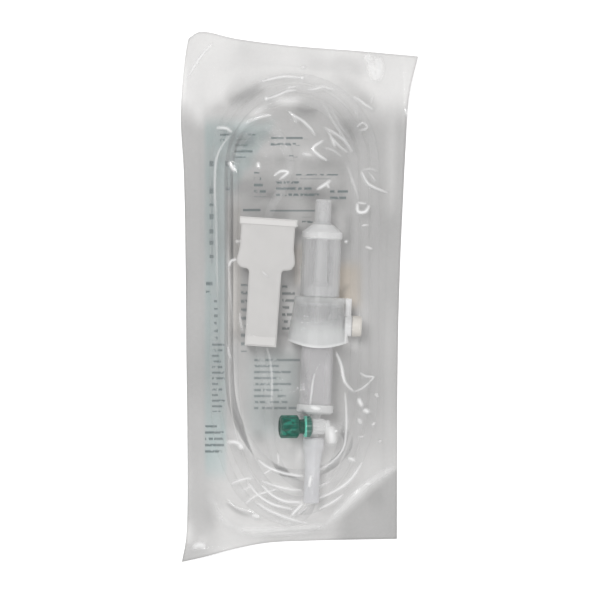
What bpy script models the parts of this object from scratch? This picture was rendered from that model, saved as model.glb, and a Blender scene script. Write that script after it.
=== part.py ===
"""An infusion set sealed in its clear pouch: vented spike and drip chamber, roller clamp, capped
connector and one coiled tube between a printed back web and a draped front film.

Metres, +Z up. The pouch lies on its back web, the header end towards +Y, origin under its middle.
"""

import math

import bmesh
import bpy
import numpy as np
from mathutils import Matrix, Vector
from mathutils.bvhtree import BVHTree

MM = 0.001

# Clearances: between pieces that touch, and round a pin that runs in a slot.
TOUCH = 0.3 * MM
RUNNING = 0.25 * MM

# The pouch, as the outline of both webs.
POUCH_TOP = 119.2 * MM
POUCH_BOTTOM = -119.2 * MM
HEADER_HALF = 53.3 * MM
WAIST_LEFT = 50.9 * MM
WAIST_RIGHT = 44.0 * MM
TOP_SLANT = 11.0 * MM
BOTTOM_SLANT = 10.4 * MM
CORNER_CUT = 5.0 * MM
LEFT_SEAL = 7.0 * MM
RIGHT_SEAL = 5.5 * MM
HEADER_SEAL = 9.0 * MM
FOOT_SEAL = 4.4 * MM
SEAL_STEP = 2.2 * MM
WEB_THICKNESS = 0.2 * MM
FILM_THICKNESS = 0.2 * MM
FILM_OVER = 0.8 * MM
FILM_COLUMNS = 27
FILM_ROWS = 49

# Everything inside lies on the web.
BED = WEB_THICKNESS + TOUCH

# The spike's cap, a hollow moulding open at its wide end.
CAP_STEM_RADIUS = 3.6 * MM
CAP_STEM_LENGTH = 10.4 * MM
CAP_SHOULDER = 4.0 * MM
CAP_COLLAR = 2.8 * MM
CAP_COLLAR_PROUD = 0.25 * MM
CAP_SKIRT_RADIUS = 8.8 * MM
CAP_SKIRT_LENGTH = 26.2 * MM
CAP_WALL = 0.9 * MM

# The vented spike: an oval finger guard, a hub, a hollow piercing spike and a side vent.
GUARD_LENGTH = 22.8 * MM
GUARD_TOP_HALF = 11.2 * MM
GUARD_RIM_HALF = 13.7 * MM
GUARD_HALF_DEPTH = 10.0 * MM
GUARD_TOP_DEPTH = 9.0 * MM
GUARD_WALL = 1.2 * MM
GUARD_PLATE = 2.4 * MM
GUARD_RIM_BOW = 3.0 * MM
HUB_HEIGHT = 5.0 * MM
SPIKE_BASE_RADIUS = 3.0 * MM
SPIKE_TIP_RADIUS = 2.2 * MM
SPIKE_LENGTH = 40.0 * MM
SPIKE_BEVEL = 62.0
FLUID_BORE = 0.7 * MM
AIR_BORE = 0.45 * MM
FLUID_OFFSET = -1.1 * MM
AIR_OFFSET = 1.3 * MM
SOCKET_WALL = 1.1 * MM
SOCKET_DEPTH = 7.0 * MM
VENT_ARM_ALONG = -1.4 * MM
VENT_ARM_RADIUS = 1.3 * MM
VENT_NECK_ACROSS = 13.0 * MM
VENT_NECK_RADIUS = 1.5 * MM
VENT_ALONG = -12.4 * MM
VENT_FLANGE_RADIUS = 4.6 * MM
VENT_FLANGE_START = 11.4 * MM
VENT_FLANGE_LENGTH = 3.4 * MM
VENT_SPOUT_RADIUS = 3.3 * MM
VENT_SPOUT_LENGTH = 3.2 * MM
VENT_POCKET_RADIUS = 2.5 * MM
VENT_POCKET_DEPTH = 1.6 * MM
VENT_FILTER = 0.6 * MM
VENT_CAP_WALL = 1.1 * MM

# The drip tube, the chamber and the base that closes it.
DRIP_RADIUS = 1.1 * MM
DRIP_BORE = 0.6 * MM
DRIP_SEAT = 3.0 * MM
DRIP_LENGTH = 19.0 * MM
CHAMBER_RADIUS = 7.2 * MM
CHAMBER_WALL = 0.8 * MM
CHAMBER_LENGTH = 48.0 * MM
BASE_WALL = 0.7 * MM
BASE_SOCKET = 2.4 * MM
BASE_FLOOR = 1.6 * MM
FILTER_RADIUS = 5.2 * MM
FILTER_THICKNESS = 0.5 * MM
STUB_RADIUS = 2.4 * MM
STUB_LENGTH = 10.4 * MM
STUB_RIB = 0.25 * MM
STUB_BORE = 1.2 * MM
SPIGOT_RADIUS = 2.0 * MM
SPIGOT_LENGTH = 4.6 * MM
SLEEVE_TOP_RADIUS = 4.7 * MM
SLEEVE_NECK_RADIUS = 3.5 * MM
SLEEVE_SHOULDER = 4.0 * MM
SLEEVE_TAPER = 9.0 * MM
SLEEVE_LENGTH = 29.3 * MM
SLEEVE_GRIP = 11.0 * MM

# The tube.
TUBE_DIAMETER = 4.1 * MM
TUBE_SAG = 0.55 * MM

# The roller clamp, lying with its back plate up.
CLAMP_LENGTH = 57.3 * MM
CLAMP_HEAD = 22.8 * MM
CLAMP_HEAD_HALF = 13.0 * MM
CLAMP_WAIST = 1.0 * MM
CLAMP_STEM_HALF = 7.2 * MM
CLAMP_CORNER = 3.6 * MM
CLAMP_FILLET = 1.8 * MM
CLAMP_WALL = 1.6 * MM
CLAMP_PLATE = 1.6 * MM
CLAMP_LIP = 3.1 * MM
CLAMP_LIP_PROUD = 0.5 * MM
CLAMP_SKIRT = 7.0 * MM
CLAMP_FOOT = 2.0 * MM
GUIDE_LENGTH = 2.0 * MM
ROLLER_RADIUS = 5.2 * MM
ROLLER_RIB = 0.25 * MM
ROLLER_SIDE = 0.7 * MM
PIN_RADIUS = 1.2 * MM
ROLLER_REST = 46.0 * MM
ROLLER_TRAVEL = 30.0 * MM

# The connector, its locking collar and its scalloped end cap.
HUB_RADIUS = 3.2 * MM
HUB_RIB = 0.3 * MM
HUB_LENGTH = 6.2 * MM
TUBE_SOCKET = 6.0 * MM
SOCKET_COLLAR = 1.8 * MM
TAPER_BASE = 2.15 * MM
TAPER_TIP = 1.9 * MM
TAPER_LENGTH = 12.0 * MM
COLLAR_RADIUS = 4.5 * MM
COLLAR_RIB = 0.2 * MM
COLLAR_LENGTH = 3.2 * MM
COLLAR_BACK = 1.0 * MM
COLLAR_WALL = 1.0 * MM
END_CAP_RADIUS = 4.75 * MM
END_CAP_SCALLOP = 0.35 * MM
END_CAP_HEAD = 8.4 * MM
END_CAP_NECK = 2.3 * MM
END_CAP_NECK_RADIUS = 3.2 * MM
END_CAP_DISH = 0.9 * MM

# Where each assembly lies: its axis, its turn from +Y and its height.
STACK_AT = (9.0 * MM, 0.0)
STACK_LEAN = -2.4
STACK_Z = BED + GUARD_HALF_DEPTH
CLAMP_AT = (-17.5 * MM, -22.0 * MM)
CLAMP_LEAN = -3.8
CONNECTOR_AT = (6.7 * MM, -57.8 * MM)
CONNECTOR_TILT = 10.0

# Heights worked out from the sizes above.
ROLLER_Z = BED + 1.1 * MM + ROLLER_RADIUS
CLAMP_TUBE_Z = ROLLER_Z + ROLLER_RADIUS + TOUCH + TUBE_DIAMETER / 2
PLATE_Z = CLAMP_TUBE_Z + TUBE_DIAMETER / 2 + TOUCH
BASE_TOP = -TOUCH - GUARD_PLATE - CHAMBER_LENGTH + BASE_SOCKET
BASE_FOOT = BASE_TOP - BASE_SOCKET - BASE_FLOOR
STUB_FOOT = BASE_FOOT - STUB_LENGTH
SLEEVE_TOP = STUB_FOOT - TOUCH
SLEEVE_FOOT = SLEEVE_TOP - SLEEVE_LENGTH
CONNECTOR_Z = STACK_Z + STUB_RADIUS + STUB_RIB + TOUCH + HUB_RADIUS + HUB_RIB

# The tube's heights: on the web, and on two turns that already lie there.
LAYER_1 = BED + TUBE_DIAMETER / 2
LAYER_2 = LAYER_1 + 3.85 * MM
CROSSING = LAYER_1 + TUBE_DIAMETER + 0.4 * MM


def clear_scene():
    for obj in list(bpy.data.objects):
        bpy.data.objects.remove(obj, do_unlink=True)


def material(name, colour, roughness, alpha=1.0, transmission=0.0):
    made = bpy.data.materials.new(name)
    made.use_nodes = True
    shader = made.node_tree.nodes["Principled BSDF"]
    shader.inputs["Base Color"].default_value = (*colour, 1.0)
    shader.inputs["Roughness"].default_value = roughness
    shader.inputs["Metallic"].default_value = 0.0
    shader.inputs["Alpha"].default_value = alpha
    shader.inputs["Transmission Weight"].default_value = transmission
    return made


def axis_empty(name, place, matrix):
    empty = bpy.data.objects.new(name, None)
    bpy.context.scene.collection.objects.link(empty)
    empty.matrix_world = Matrix.Translation(place) @ matrix
    return empty


def put(name, bm, look, parent=None, helper=False, smooth=True):
    """Makes an object of a bmesh. A helper is a cutter or a shape to be joined, which isn't built."""
    bmesh.ops.recalc_face_normals(bm, faces=bm.faces)
    mesh = bpy.data.meshes.new(name)
    bm.to_mesh(mesh)
    bm.free()
    if smooth:
        mesh.shade_smooth()
        mesh.set_sharp_from_angle(angle=math.radians(35))
    obj = bpy.data.objects.new(name, mesh)
    bpy.context.scene.collection.objects.link(obj)
    obj.parent = parent
    if helper:
        obj.hide_render = True
        obj.display_type = "WIRE"
    else:
        mesh.materials.append(look)
    return obj


def boolean(obj, other, operation):
    modifier = obj.modifiers.new(operation.lower() + "_" + other.name, "BOOLEAN")
    modifier.operation = operation
    modifier.solver = "EXACT"
    modifier.object = other


def turned(profile, segments, lobes=0, place=(0, 0), along="Y"):
    """A closed profile of (radius, along, rib height) turned about an axis parallel to +Y, or to +X or +Z.

    place holds where the axis passes, in the plane across it.
    """
    bm = bmesh.new()
    rings = []
    for radius, at, rib in profile:
        if radius == 0:
            rings.append([bm.verts.new((0, at, 0))])
            continue
        ring = []
        for i in range(segments):
            turn = 2 * math.pi * i / segments
            reach = radius + rib * (0.5 + 0.5 * math.cos(lobes * turn))
            ring.append(bm.verts.new((reach * math.cos(turn), at, reach * math.sin(turn))))
        rings.append(ring)
    for ring, following in zip(rings, rings[1:] + rings[:1]):
        if len(ring) == 1 and len(following) == 1:
            continue
        for i in range(segments):
            j = (i + 1) % segments
            corners = [ring[i % len(ring)], ring[j % len(ring)], following[j % len(following)]]
            corners.append(following[i % len(following)])
            bm.faces.new(list(dict.fromkeys(corners)))
    turns = {
        "Y": Matrix(),
        "X": Matrix.Rotation(-math.pi / 2, 4, "Z"),
        "Z": Matrix.Rotation(math.pi / 2, 4, "X"),
    }
    offsets = {"Y": (place[0], 0, place[1]), "X": (0, place[0], place[1]), "Z": (place[0], place[1], 0)}
    bmesh.ops.transform(bm, matrix=Matrix.Translation(offsets[along]) @ turns[along], verts=bm.verts)
    return bm


def rod(radius, start, end, segments=16, place=(0, 0), along="Y"):
    profile = [(0, start, 0), (radius, start, 0), (radius, end, 0), (0, end, 0)]
    return turned(profile, segments, 0, place, along)


def prism(outline, low, high):
    """An outline in the sheet's plane, extruded from one height to another."""
    bm = bmesh.new()
    face = bm.faces.new([bm.verts.new((x, y, low)) for x, y in outline])
    raised = bmesh.ops.extrude_face_region(bm, geom=[face])["geom"]
    lifted = [item for item in raised if isinstance(item, bmesh.types.BMVert)]
    bmesh.ops.translate(bm, vec=(0, 0, high - low), verts=lifted)
    return bm


def box(low, high):
    outline = [(low[0], low[1]), (high[0], low[1]), (high[0], high[1]), (low[0], high[1])]
    return prism(outline, low[2], high[2])


def arc(centre, radius, start, end, count):
    """Points from one angle to another, in degrees, both included."""
    points = []
    for i in range(count + 1):
        turn = math.radians(start + (end - start) * i / count)
        points.append((centre[0] + radius * math.cos(turn), centre[1] + radius * math.sin(turn)))
    return points


def smooth_curve(points, step):
    """A centripetal Catmull-Rom curve through the points, with a point about every step."""
    p = np.array(points, float)
    p = np.vstack([2 * p[0] - p[1], p, 2 * p[-1] - p[-2]])
    found = []
    for a, b, c, d in zip(p[:-3], p[1:-2], p[2:-1], p[3:]):
        t1 = np.sqrt(np.linalg.norm(b - a))
        t2 = t1 + np.sqrt(np.linalg.norm(c - b))
        t3 = t2 + np.sqrt(np.linalg.norm(d - c))
        count = max(2, math.ceil(np.linalg.norm(c - b) / step))
        for t in np.linspace(t1, t2, count, endpoint=False):
            ab = a + (b - a) * t / t1
            bc = b + (c - b) * (t - t1) / (t2 - t1)
            cd = c + (d - c) * (t - t2) / (t3 - t2)
            abc = ab + (bc - ab) * t / t2
            bcd = bc + (cd - bc) * (t - t1) / (t3 - t1)
            found.append(abc + (bcd - abc) * (t - t1) / (t2 - t1))
    return np.array(found + [p[-2]])


def pouch_sides():
    """The pouch's four edges: left and right from the foot upwards, foot and top from left to right."""
    left = [
        (-HEADER_HALF + 0.4 * MM, POUCH_BOTTOM),
        (-WAIST_LEFT, POUCH_BOTTOM + 12 * MM),
        (-WAIST_LEFT, -20 * MM),
        (-WAIST_LEFT - 1.1 * MM, 55 * MM),
        (-HEADER_HALF, 82 * MM),
        (-HEADER_HALF + 2.2 * MM, POUCH_TOP - 9 * MM),
        (-HEADER_HALF + 3.4 * MM, POUCH_TOP - 0.6 * CORNER_CUT),
    ]
    right = [
        (WAIST_RIGHT - 0.2 * MM, POUCH_BOTTOM + BOTTOM_SLANT),
        (WAIST_RIGHT, -40 * MM),
        (WAIST_RIGHT + 1.0 * MM, 8 * MM),
        (WAIST_RIGHT + 3.6 * MM, 65 * MM),
        (WAIST_RIGHT + 5.2 * MM, 90 * MM),
        (HEADER_HALF, POUCH_TOP - TOP_SLANT),
    ]
    foot = [
        left[0],
        (-43 * MM, POUCH_BOTTOM + 2.3 * MM),
        (-30 * MM, POUCH_BOTTOM + 5.8 * MM),
        (-15 * MM, POUCH_BOTTOM + 8.6 * MM),
        (5 * MM, POUCH_BOTTOM + BOTTOM_SLANT - 0.8 * MM),
        right[0],
    ]
    top = [
        left[-1],
        (-HEADER_HALF + 3.4 * MM + CORNER_CUT, POUCH_TOP),
        (-28 * MM, POUCH_TOP - 3.1 * MM),
        (-5 * MM, POUCH_TOP - 6.1 * MM),
        (25 * MM, POUCH_TOP - 8.4 * MM),
        right[-1],
    ]
    return left, right, foot, top


def along_side(points, share):
    """The place at a share of a side's length."""
    line = smooth_curve(points, 4 * MM)
    run = np.concatenate([[0], np.cumsum(np.linalg.norm(np.diff(line, axis=0), axis=1))])
    return np.stack([np.interp(share * run[-1], run, line[:, k]) for k in range(2)], axis=-1)


def pouch_grid(across, up):
    """Places in the pouch's plane, blended between its four sides, for shares across and up it."""
    left, right, foot, top = pouch_sides()
    u, v = across[None, :, None], up[:, None, None]
    sides = along_side(left, up)[:, None] * (1 - u) + along_side(right, up)[:, None] * u
    ends = along_side(foot, across)[None] * (1 - v) + along_side(top, across)[None] * v
    corners = np.array(left[0]) * (1 - u) * (1 - v) + np.array(right[0]) * u * (1 - v)
    corners = corners + np.array(left[-1]) * (1 - u) * v + np.array(right[-1]) * u * v
    return sides + ends - corners


def seal_shares(count, seal_low, seal_high, whole):
    """Shares from 0 to 1: a strip for each seal, a narrow step beside it, and even steps between them."""
    low, high, step = seal_low / whole, 1 - seal_high / whole, SEAL_STEP / whole
    return np.concatenate([[0.0, low], np.linspace(low + step, high - step, count - 4), [high, 1.0]])


def build_back_web(look):
    left, right, foot, top = pouch_sides()
    steps = np.linspace(0, 1, 17)
    rim = [along_side(side, steps) for side in (foot, right, top, left)]
    outline = [*rim[0][:-1], *rim[1][:-1], *rim[2][::-1][:-1], *rim[3][::-1][:-1]]
    return put("back_web", prism([tuple(p) for p in outline], 0, WEB_THICKNESS), look, smooth=False)


def heights_of(objects, places):
    """The top of the objects under each place, by rays cast down on them."""
    graph = bpy.context.evaluated_depsgraph_get()
    corners, faces = [], []
    for obj in objects:
        evaluated = obj.evaluated_get(graph)
        mesh = evaluated.to_mesh()
        start = len(corners)
        corners += [evaluated.matrix_world @ vertex.co for vertex in mesh.vertices]
        faces += [[start + i for i in polygon.vertices] for polygon in mesh.polygons]
        evaluated.to_mesh_clear()
    tree = BVHTree.FromPolygons(corners, faces)
    found = np.zeros(places.shape[:2])
    for i, j in np.ndindex(found.shape):
        hit = tree.ray_cast(Vector((*places[i, j], 0.2)), Vector((0, 0, -1)))[0]
        found[i, j] = hit.z if hit else 0.0
    return found


def taut(across, up, contents):
    """Heights of a film that is sealed round its rim and drawn over the contents, at each share.

    The film sinks towards the mean of its neighbours, and each cell is lifted off what it covers.
    """
    fine = 7
    cells_v, cells_u = len(up) - 1, len(across) - 1
    inner = np.linspace(0, 1, fine)
    fine_u = (across[:-1, None] + np.diff(across)[:, None] * inner).reshape(-1)
    fine_v = (up[:-1, None] + np.diff(up)[:, None] * inner).reshape(-1)
    tops = heights_of(contents, pouch_grid(fine_u, fine_v)).reshape(cells_v, fine, cells_u, fine)
    under = np.where(tops > 0, tops + FILM_OVER, 0)
    heights = np.full((len(up), len(across)), BED)
    a, b = inner[None, :, None, None], inner[None, None, None, :]
    corners = ((0, 0), (0, 1), (1, 0), (1, 1))

    def lift(share):
        low, right, left, high = (heights[i:i + cells_v, j:j + cells_u][:, None, :, None] for i, j in corners)
        lower = low + b * (right - low) + a * (high - right)
        upper = low + a * (left - low) + b * (high - left)
        flat = np.where(a <= b, lower, upper)
        lack = np.maximum(under - flat, 0).max(axis=(1, 3))
        for i, j in corners:
            heights[i:i + cells_v, j:j + cells_u] += share * lack
        heights[[0, 1, -2, -1]] = BED
        heights[:, [0, 1, -2, -1]] = BED

    for _ in range(260):
        mean = (heights[:-2, 1:-1] + heights[2:, 1:-1] + heights[1:-1, :-2] + heights[1:-1, 2:]) / 4
        heights[1:-1, 1:-1] = mean
        lift(0.6)
    for _ in range(30):
        lift(0.35)
    return heights


def build_front_film(look, contents):
    length, width = POUCH_TOP - POUCH_BOTTOM, WAIST_LEFT + WAIST_RIGHT
    across = seal_shares(FILM_COLUMNS, LEFT_SEAL, RIGHT_SEAL, width)
    up = seal_shares(FILM_ROWS, FOOT_SEAL, HEADER_SEAL, length)
    places = pouch_grid(across, up)
    heights = taut(across, up, contents)
    bm = bmesh.new()
    layers = []
    for lift in (0.0, FILM_THICKNESS):
        points = np.dstack([places, heights + lift])
        layers.append([[bm.verts.new(tuple(point)) for point in row] for row in points])
    for layer in layers:
        for i in range(FILM_ROWS - 1):
            for j in range(FILM_COLUMNS - 1):
                bm.faces.new([layer[i][j], layer[i][j + 1], layer[i + 1][j + 1]])
                bm.faces.new([layer[i][j], layer[i + 1][j + 1], layer[i + 1][j]])
    rims = []
    for layer in layers:
        right = [row[-1] for row in layer[1:-1]]
        left = [row[0] for row in layer[1:-1]]
        rims.append([*layer[0], *right, *layer[-1][::-1], *left[::-1]])
    count = len(rims[0])
    for i in range(count):
        j = (i + 1) % count
        bm.faces.new([rims[0][i], rims[0][j], rims[1][j], rims[1][i]])
    return put("front_film", bm, look)


def build_spike_cap(look, stack):
    foot = TOUCH
    skirt_top = foot + CAP_SKIRT_LENGTH
    collar_top = skirt_top + CAP_COLLAR
    shoulder_top = collar_top + CAP_SHOULDER
    tip = shoulder_top + CAP_STEM_LENGTH
    edge = 0.8 * MM
    inner_stem, inner_skirt = CAP_STEM_RADIUS - CAP_WALL, CAP_SKIRT_RADIUS - CAP_WALL
    proud = CAP_SKIRT_RADIUS + CAP_COLLAR_PROUD
    profile = [
        (0, tip, 0),
        (CAP_STEM_RADIUS - edge, tip, 0),
        (CAP_STEM_RADIUS - 0.3 * edge, tip - 0.3 * edge, 0),
        (CAP_STEM_RADIUS, tip - edge, 0),
        (CAP_STEM_RADIUS, shoulder_top, 0),
        (CAP_STEM_RADIUS + 1.4 * MM, shoulder_top - 1.1 * MM, 0),
        (proud - 1.2 * MM, collar_top + 0.5 * MM, 0),
        (proud, collar_top - 0.4 * MM, 0),
        (proud, skirt_top, 0),
        (CAP_SKIRT_RADIUS - 0.15 * MM, skirt_top - 0.5 * MM, 0),
        (CAP_SKIRT_RADIUS, foot, 0),
        (inner_skirt, foot, 0),
        (inner_skirt, collar_top - CAP_WALL, 0),
        (inner_stem, shoulder_top - CAP_WALL, 0),
        (inner_stem, tip - CAP_WALL, 0),
        (0, tip - CAP_WALL, 0),
    ]
    return put("spike_cap", turned(profile, 28), look, stack)


def oval_cup():
    """The finger guard: oval rings outside and inside, its rim bowed down in the middle."""
    bm = bmesh.new()
    segments = 36
    shares = (0.0, 0.12, 0.45, 0.8, 1.0)

    def ring(share, wall, top):
        found = []
        half = GUARD_TOP_HALF + (GUARD_RIM_HALF - GUARD_TOP_HALF) * share ** 1.3 - wall
        depth = GUARD_TOP_DEPTH + (GUARD_HALF_DEPTH - GUARD_TOP_DEPTH) * share - wall
        for i in range(segments):
            turn = 2 * math.pi * i / segments
            drop = GUARD_LENGTH - GUARD_RIM_BOW * math.cos(turn) ** 2
            along = -top - (drop - top) * share
            found.append(bm.verts.new((half * math.cos(turn), along, depth * math.sin(turn))))
        return found

    edge = 0.5 * MM
    outer = [ring(share, 0, 0) for share in shares]
    inner = [ring(share, GUARD_WALL, GUARD_PLATE) for share in shares]
    lid = ring(0, edge, 0)
    for vertex in outer[0]:
        vertex.co.y -= edge
    rings = [lid, *outer, *inner[::-1]]
    for first, second in zip(rings, rings[1:]):
        for i in range(segments):
            j = (i + 1) % segments
            bm.faces.new([first[i], first[j], second[j], second[i]])
    bm.faces.new(lid)
    bm.faces.new(inner[0])
    return bm


def build_vented_spike(look, stack):
    shaft = [
        (0, SPIKE_LENGTH, 0),
        (SPIKE_TIP_RADIUS - 0.9 * MM, SPIKE_LENGTH, 0),
        (SPIKE_TIP_RADIUS, SPIKE_LENGTH - 5 * MM, 0),
        (SPIKE_BASE_RADIUS, HUB_HEIGHT + 1.5 * MM, 0),
        (SPIKE_BASE_RADIUS + 1.2 * MM, HUB_HEIGHT, 0),
        (CAP_SKIRT_RADIUS - CAP_WALL - TOUCH - 0.4 * MM, HUB_HEIGHT, 0),
        (CAP_SKIRT_RADIUS - CAP_WALL - TOUCH, HUB_HEIGHT - 0.5 * MM, 0),
        (CAP_SKIRT_RADIUS - CAP_WALL - TOUCH, -0.5 * GUARD_PLATE, 0),
        (0, -0.5 * GUARD_PLATE, 0),
    ]
    socket_inner = CHAMBER_RADIUS + TOUCH
    socket_outer = socket_inner + SOCKET_WALL
    socket = [
        (socket_inner, -GUARD_PLATE + 0.4 * MM, 0),
        (socket_outer, -GUARD_PLATE + 0.4 * MM, 0),
        (socket_outer, -GUARD_PLATE - SOCKET_DEPTH, 0),
        (socket_inner, -GUARD_PLATE - SOCKET_DEPTH, 0),
    ]
    flange_end = VENT_FLANGE_START + VENT_FLANGE_LENGTH
    spout_end = flange_end + VENT_SPOUT_LENGTH
    neck_top = VENT_ARM_ALONG + 0.9 * VENT_ARM_RADIUS
    arm, vent = (VENT_ARM_ALONG, 0), (VENT_ALONG, 0)
    boss = DRIP_RADIUS + TOUCH + 0.9 * MM
    joins = {
        "guard": oval_cup(),
        "socket_ring": turned(socket, 32),
        "drip_boss": rod(boss, -GUARD_PLATE - 2 * MM, -0.3 * GUARD_PLATE, 16, (FLUID_OFFSET, 0)),
        "vent_arm": rod(VENT_ARM_RADIUS, socket_outer + 0.3 * MM, VENT_NECK_ACROSS, 14, arm, "X"),
        "vent_neck": rod(VENT_NECK_RADIUS, VENT_ALONG, neck_top, 18, (VENT_NECK_ACROSS, 0)),
        "vent_flange": rod(VENT_FLANGE_RADIUS, VENT_FLANGE_START, flange_end, 28, vent, "X"),
        "vent_spout": rod(VENT_SPOUT_RADIUS, VENT_FLANGE_START + 1 * MM, spout_end, 26, vent, "X"),
    }
    slice_off = box((-12 * MM, 0, -6 * MM), (12 * MM, 14 * MM, 6 * MM))
    tilt = Matrix.Rotation(math.radians(-SPIKE_BEVEL), 4, "X")
    bevel = Matrix.Translation((0, SPIKE_LENGTH - 4.5 * MM, 0)) @ tilt
    bmesh.ops.transform(slice_off, matrix=bevel, verts=slice_off.verts)
    drop_top = VENT_ARM_ALONG + 1.4 * AIR_BORE
    past_tip, past_spout = SPIKE_LENGTH + 2 * MM, spout_end + 1 * MM
    cuts = {
        "tip_bevel": slice_off,
        "fluid_bore": rod(FLUID_BORE, -GUARD_PLATE - 4 * MM, past_tip, 12, (FLUID_OFFSET, 0)),
        "drip_seat": rod(DRIP_RADIUS + TOUCH, -GUARD_PLATE - 4 * MM, DRIP_SEAT, 14, (FLUID_OFFSET, 0)),
        "air_bore": rod(AIR_BORE, VENT_ARM_ALONG - 1.4 * AIR_BORE, past_tip, 10, (AIR_OFFSET, 0)),
        "air_duct": rod(0.8 * AIR_BORE, AIR_OFFSET, VENT_NECK_ACROSS + 1.5 * AIR_BORE, 9, arm, "X"),
        "air_drop": rod(AIR_BORE, VENT_ALONG, drop_top, 10, (VENT_NECK_ACROSS, 0)),
        "air_port": rod(1.4 * AIR_BORE, VENT_NECK_ACROSS - 2 * AIR_BORE, past_spout, 11, vent, "X"),
        "vent_pocket": rod(VENT_POCKET_RADIUS, spout_end - VENT_POCKET_DEPTH, past_spout, 24, vent, "X"),
    }
    spike = put("vented_spike", turned(shaft, 24), look, stack)
    for name, bm in joins.items():
        boolean(spike, put(name, bm, None, stack, helper=True), "UNION")
    for name, bm in cuts.items():
        boolean(spike, put(name, bm, None, stack, helper=True), "DIFFERENCE")
    return spike


def build_vent_filter(look, stack):
    seat = VENT_FLANGE_START + VENT_FLANGE_LENGTH + VENT_SPOUT_LENGTH - VENT_POCKET_DEPTH + TOUCH
    disc = rod(VENT_POCKET_RADIUS - TOUCH, seat, seat + VENT_FILTER, 24, (VENT_ALONG, 0), "X")
    return put("vent_filter", disc, look, stack)


def build_vent_cap(look, stack):
    """A round cap pushed over the vent's spout, open on the side of the flange."""
    foot = VENT_FLANGE_START + VENT_FLANGE_LENGTH + TOUCH
    roof = foot + VENT_SPOUT_LENGTH
    top = roof + VENT_CAP_WALL
    inner = VENT_SPOUT_RADIUS + TOUCH
    outer = inner + VENT_CAP_WALL
    profile = [
        (0, top, 0),
        (outer - 1.0 * MM, top, 0),
        (outer - 0.3 * MM, top - 0.3 * MM, 0),
        (outer, top - 1.0 * MM, 0),
        (outer, foot, 0),
        (inner, foot, 0),
        (inner, roof, 0),
        (0, roof, 0),
    ]
    return put("vent_cap", turned(profile, 28, 0, (VENT_ALONG, 0), "X"), look, stack)


def build_drip_tube(look, stack):
    top = DRIP_SEAT - TOUCH
    foot = top - DRIP_LENGTH
    profile = [
        (DRIP_BORE, top, 0),
        (DRIP_RADIUS, top, 0),
        (DRIP_RADIUS, foot + 0.8 * MM, 0),
        (DRIP_RADIUS - 0.25 * MM, foot, 0),
        (DRIP_BORE, foot, 0),
    ]
    return put("drip_tube", turned(profile, 14, 0, (FLUID_OFFSET, 0)), look, stack)


def build_drip_chamber(look, stack):
    top = -GUARD_PLATE - TOUCH
    foot = top - CHAMBER_LENGTH
    inner = CHAMBER_RADIUS - CHAMBER_WALL
    profile = [
        (inner, top, 0),
        (CHAMBER_RADIUS - 0.2 * MM, top, 0),
        (CHAMBER_RADIUS, top - 0.4 * MM, 0),
        (CHAMBER_RADIUS, 0.5 * (top + foot), 0),
        (CHAMBER_RADIUS, foot, 0),
        (inner, foot, 0),
        (inner, 0.5 * (top + foot), 0),
    ]
    return put("drip_chamber", turned(profile, 32), look, stack)


def build_chamber_base(look, stack):
    inner = CHAMBER_RADIUS + TOUCH
    outer = inner + BASE_WALL
    seat = BASE_TOP - BASE_SOCKET - TOUCH
    step = seat - FILTER_THICKNESS - TOUCH
    pocket = FILTER_RADIUS + TOUCH
    ribs = [(STUB_RADIUS, BASE_FOOT - 1.0 * MM, STUB_RIB), (STUB_RADIUS, STUB_FOOT + 1.0 * MM, STUB_RIB)]
    profile = [
        (inner, BASE_TOP, 0),
        (outer - 0.2 * MM, BASE_TOP, 0),
        (outer, BASE_TOP - 0.4 * MM, 0),
        (outer, BASE_FOOT + 0.8 * MM, 0),
        (outer - 1.2 * MM, BASE_FOOT, 0),
        (STUB_RADIUS + 0.6 * MM, BASE_FOOT - 0.2 * MM, 0),
        *ribs,
        (STUB_RADIUS, STUB_FOOT, 0),
        (SPIGOT_RADIUS, STUB_FOOT, 0),
        (SPIGOT_RADIUS - 0.15 * MM, STUB_FOOT - SPIGOT_LENGTH, 0),
        (STUB_BORE, STUB_FOOT - SPIGOT_LENGTH, 0),
        (STUB_BORE, BASE_FOOT - 0.8 * MM, 0),
        (pocket - 0.8 * MM, step, 0),
        (pocket, step, 0),
        (pocket, seat, 0),
        (inner, seat, 0),
    ]
    return put("chamber_base", turned(profile, 32, 8), look, stack)


def build_fluid_filter(look, stack):
    top = BASE_TOP - BASE_SOCKET - TOUCH - 0.1 * MM
    return put("fluid_filter", rod(FILTER_RADIUS, top - FILTER_THICKNESS, top, 24), look, stack)


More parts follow.
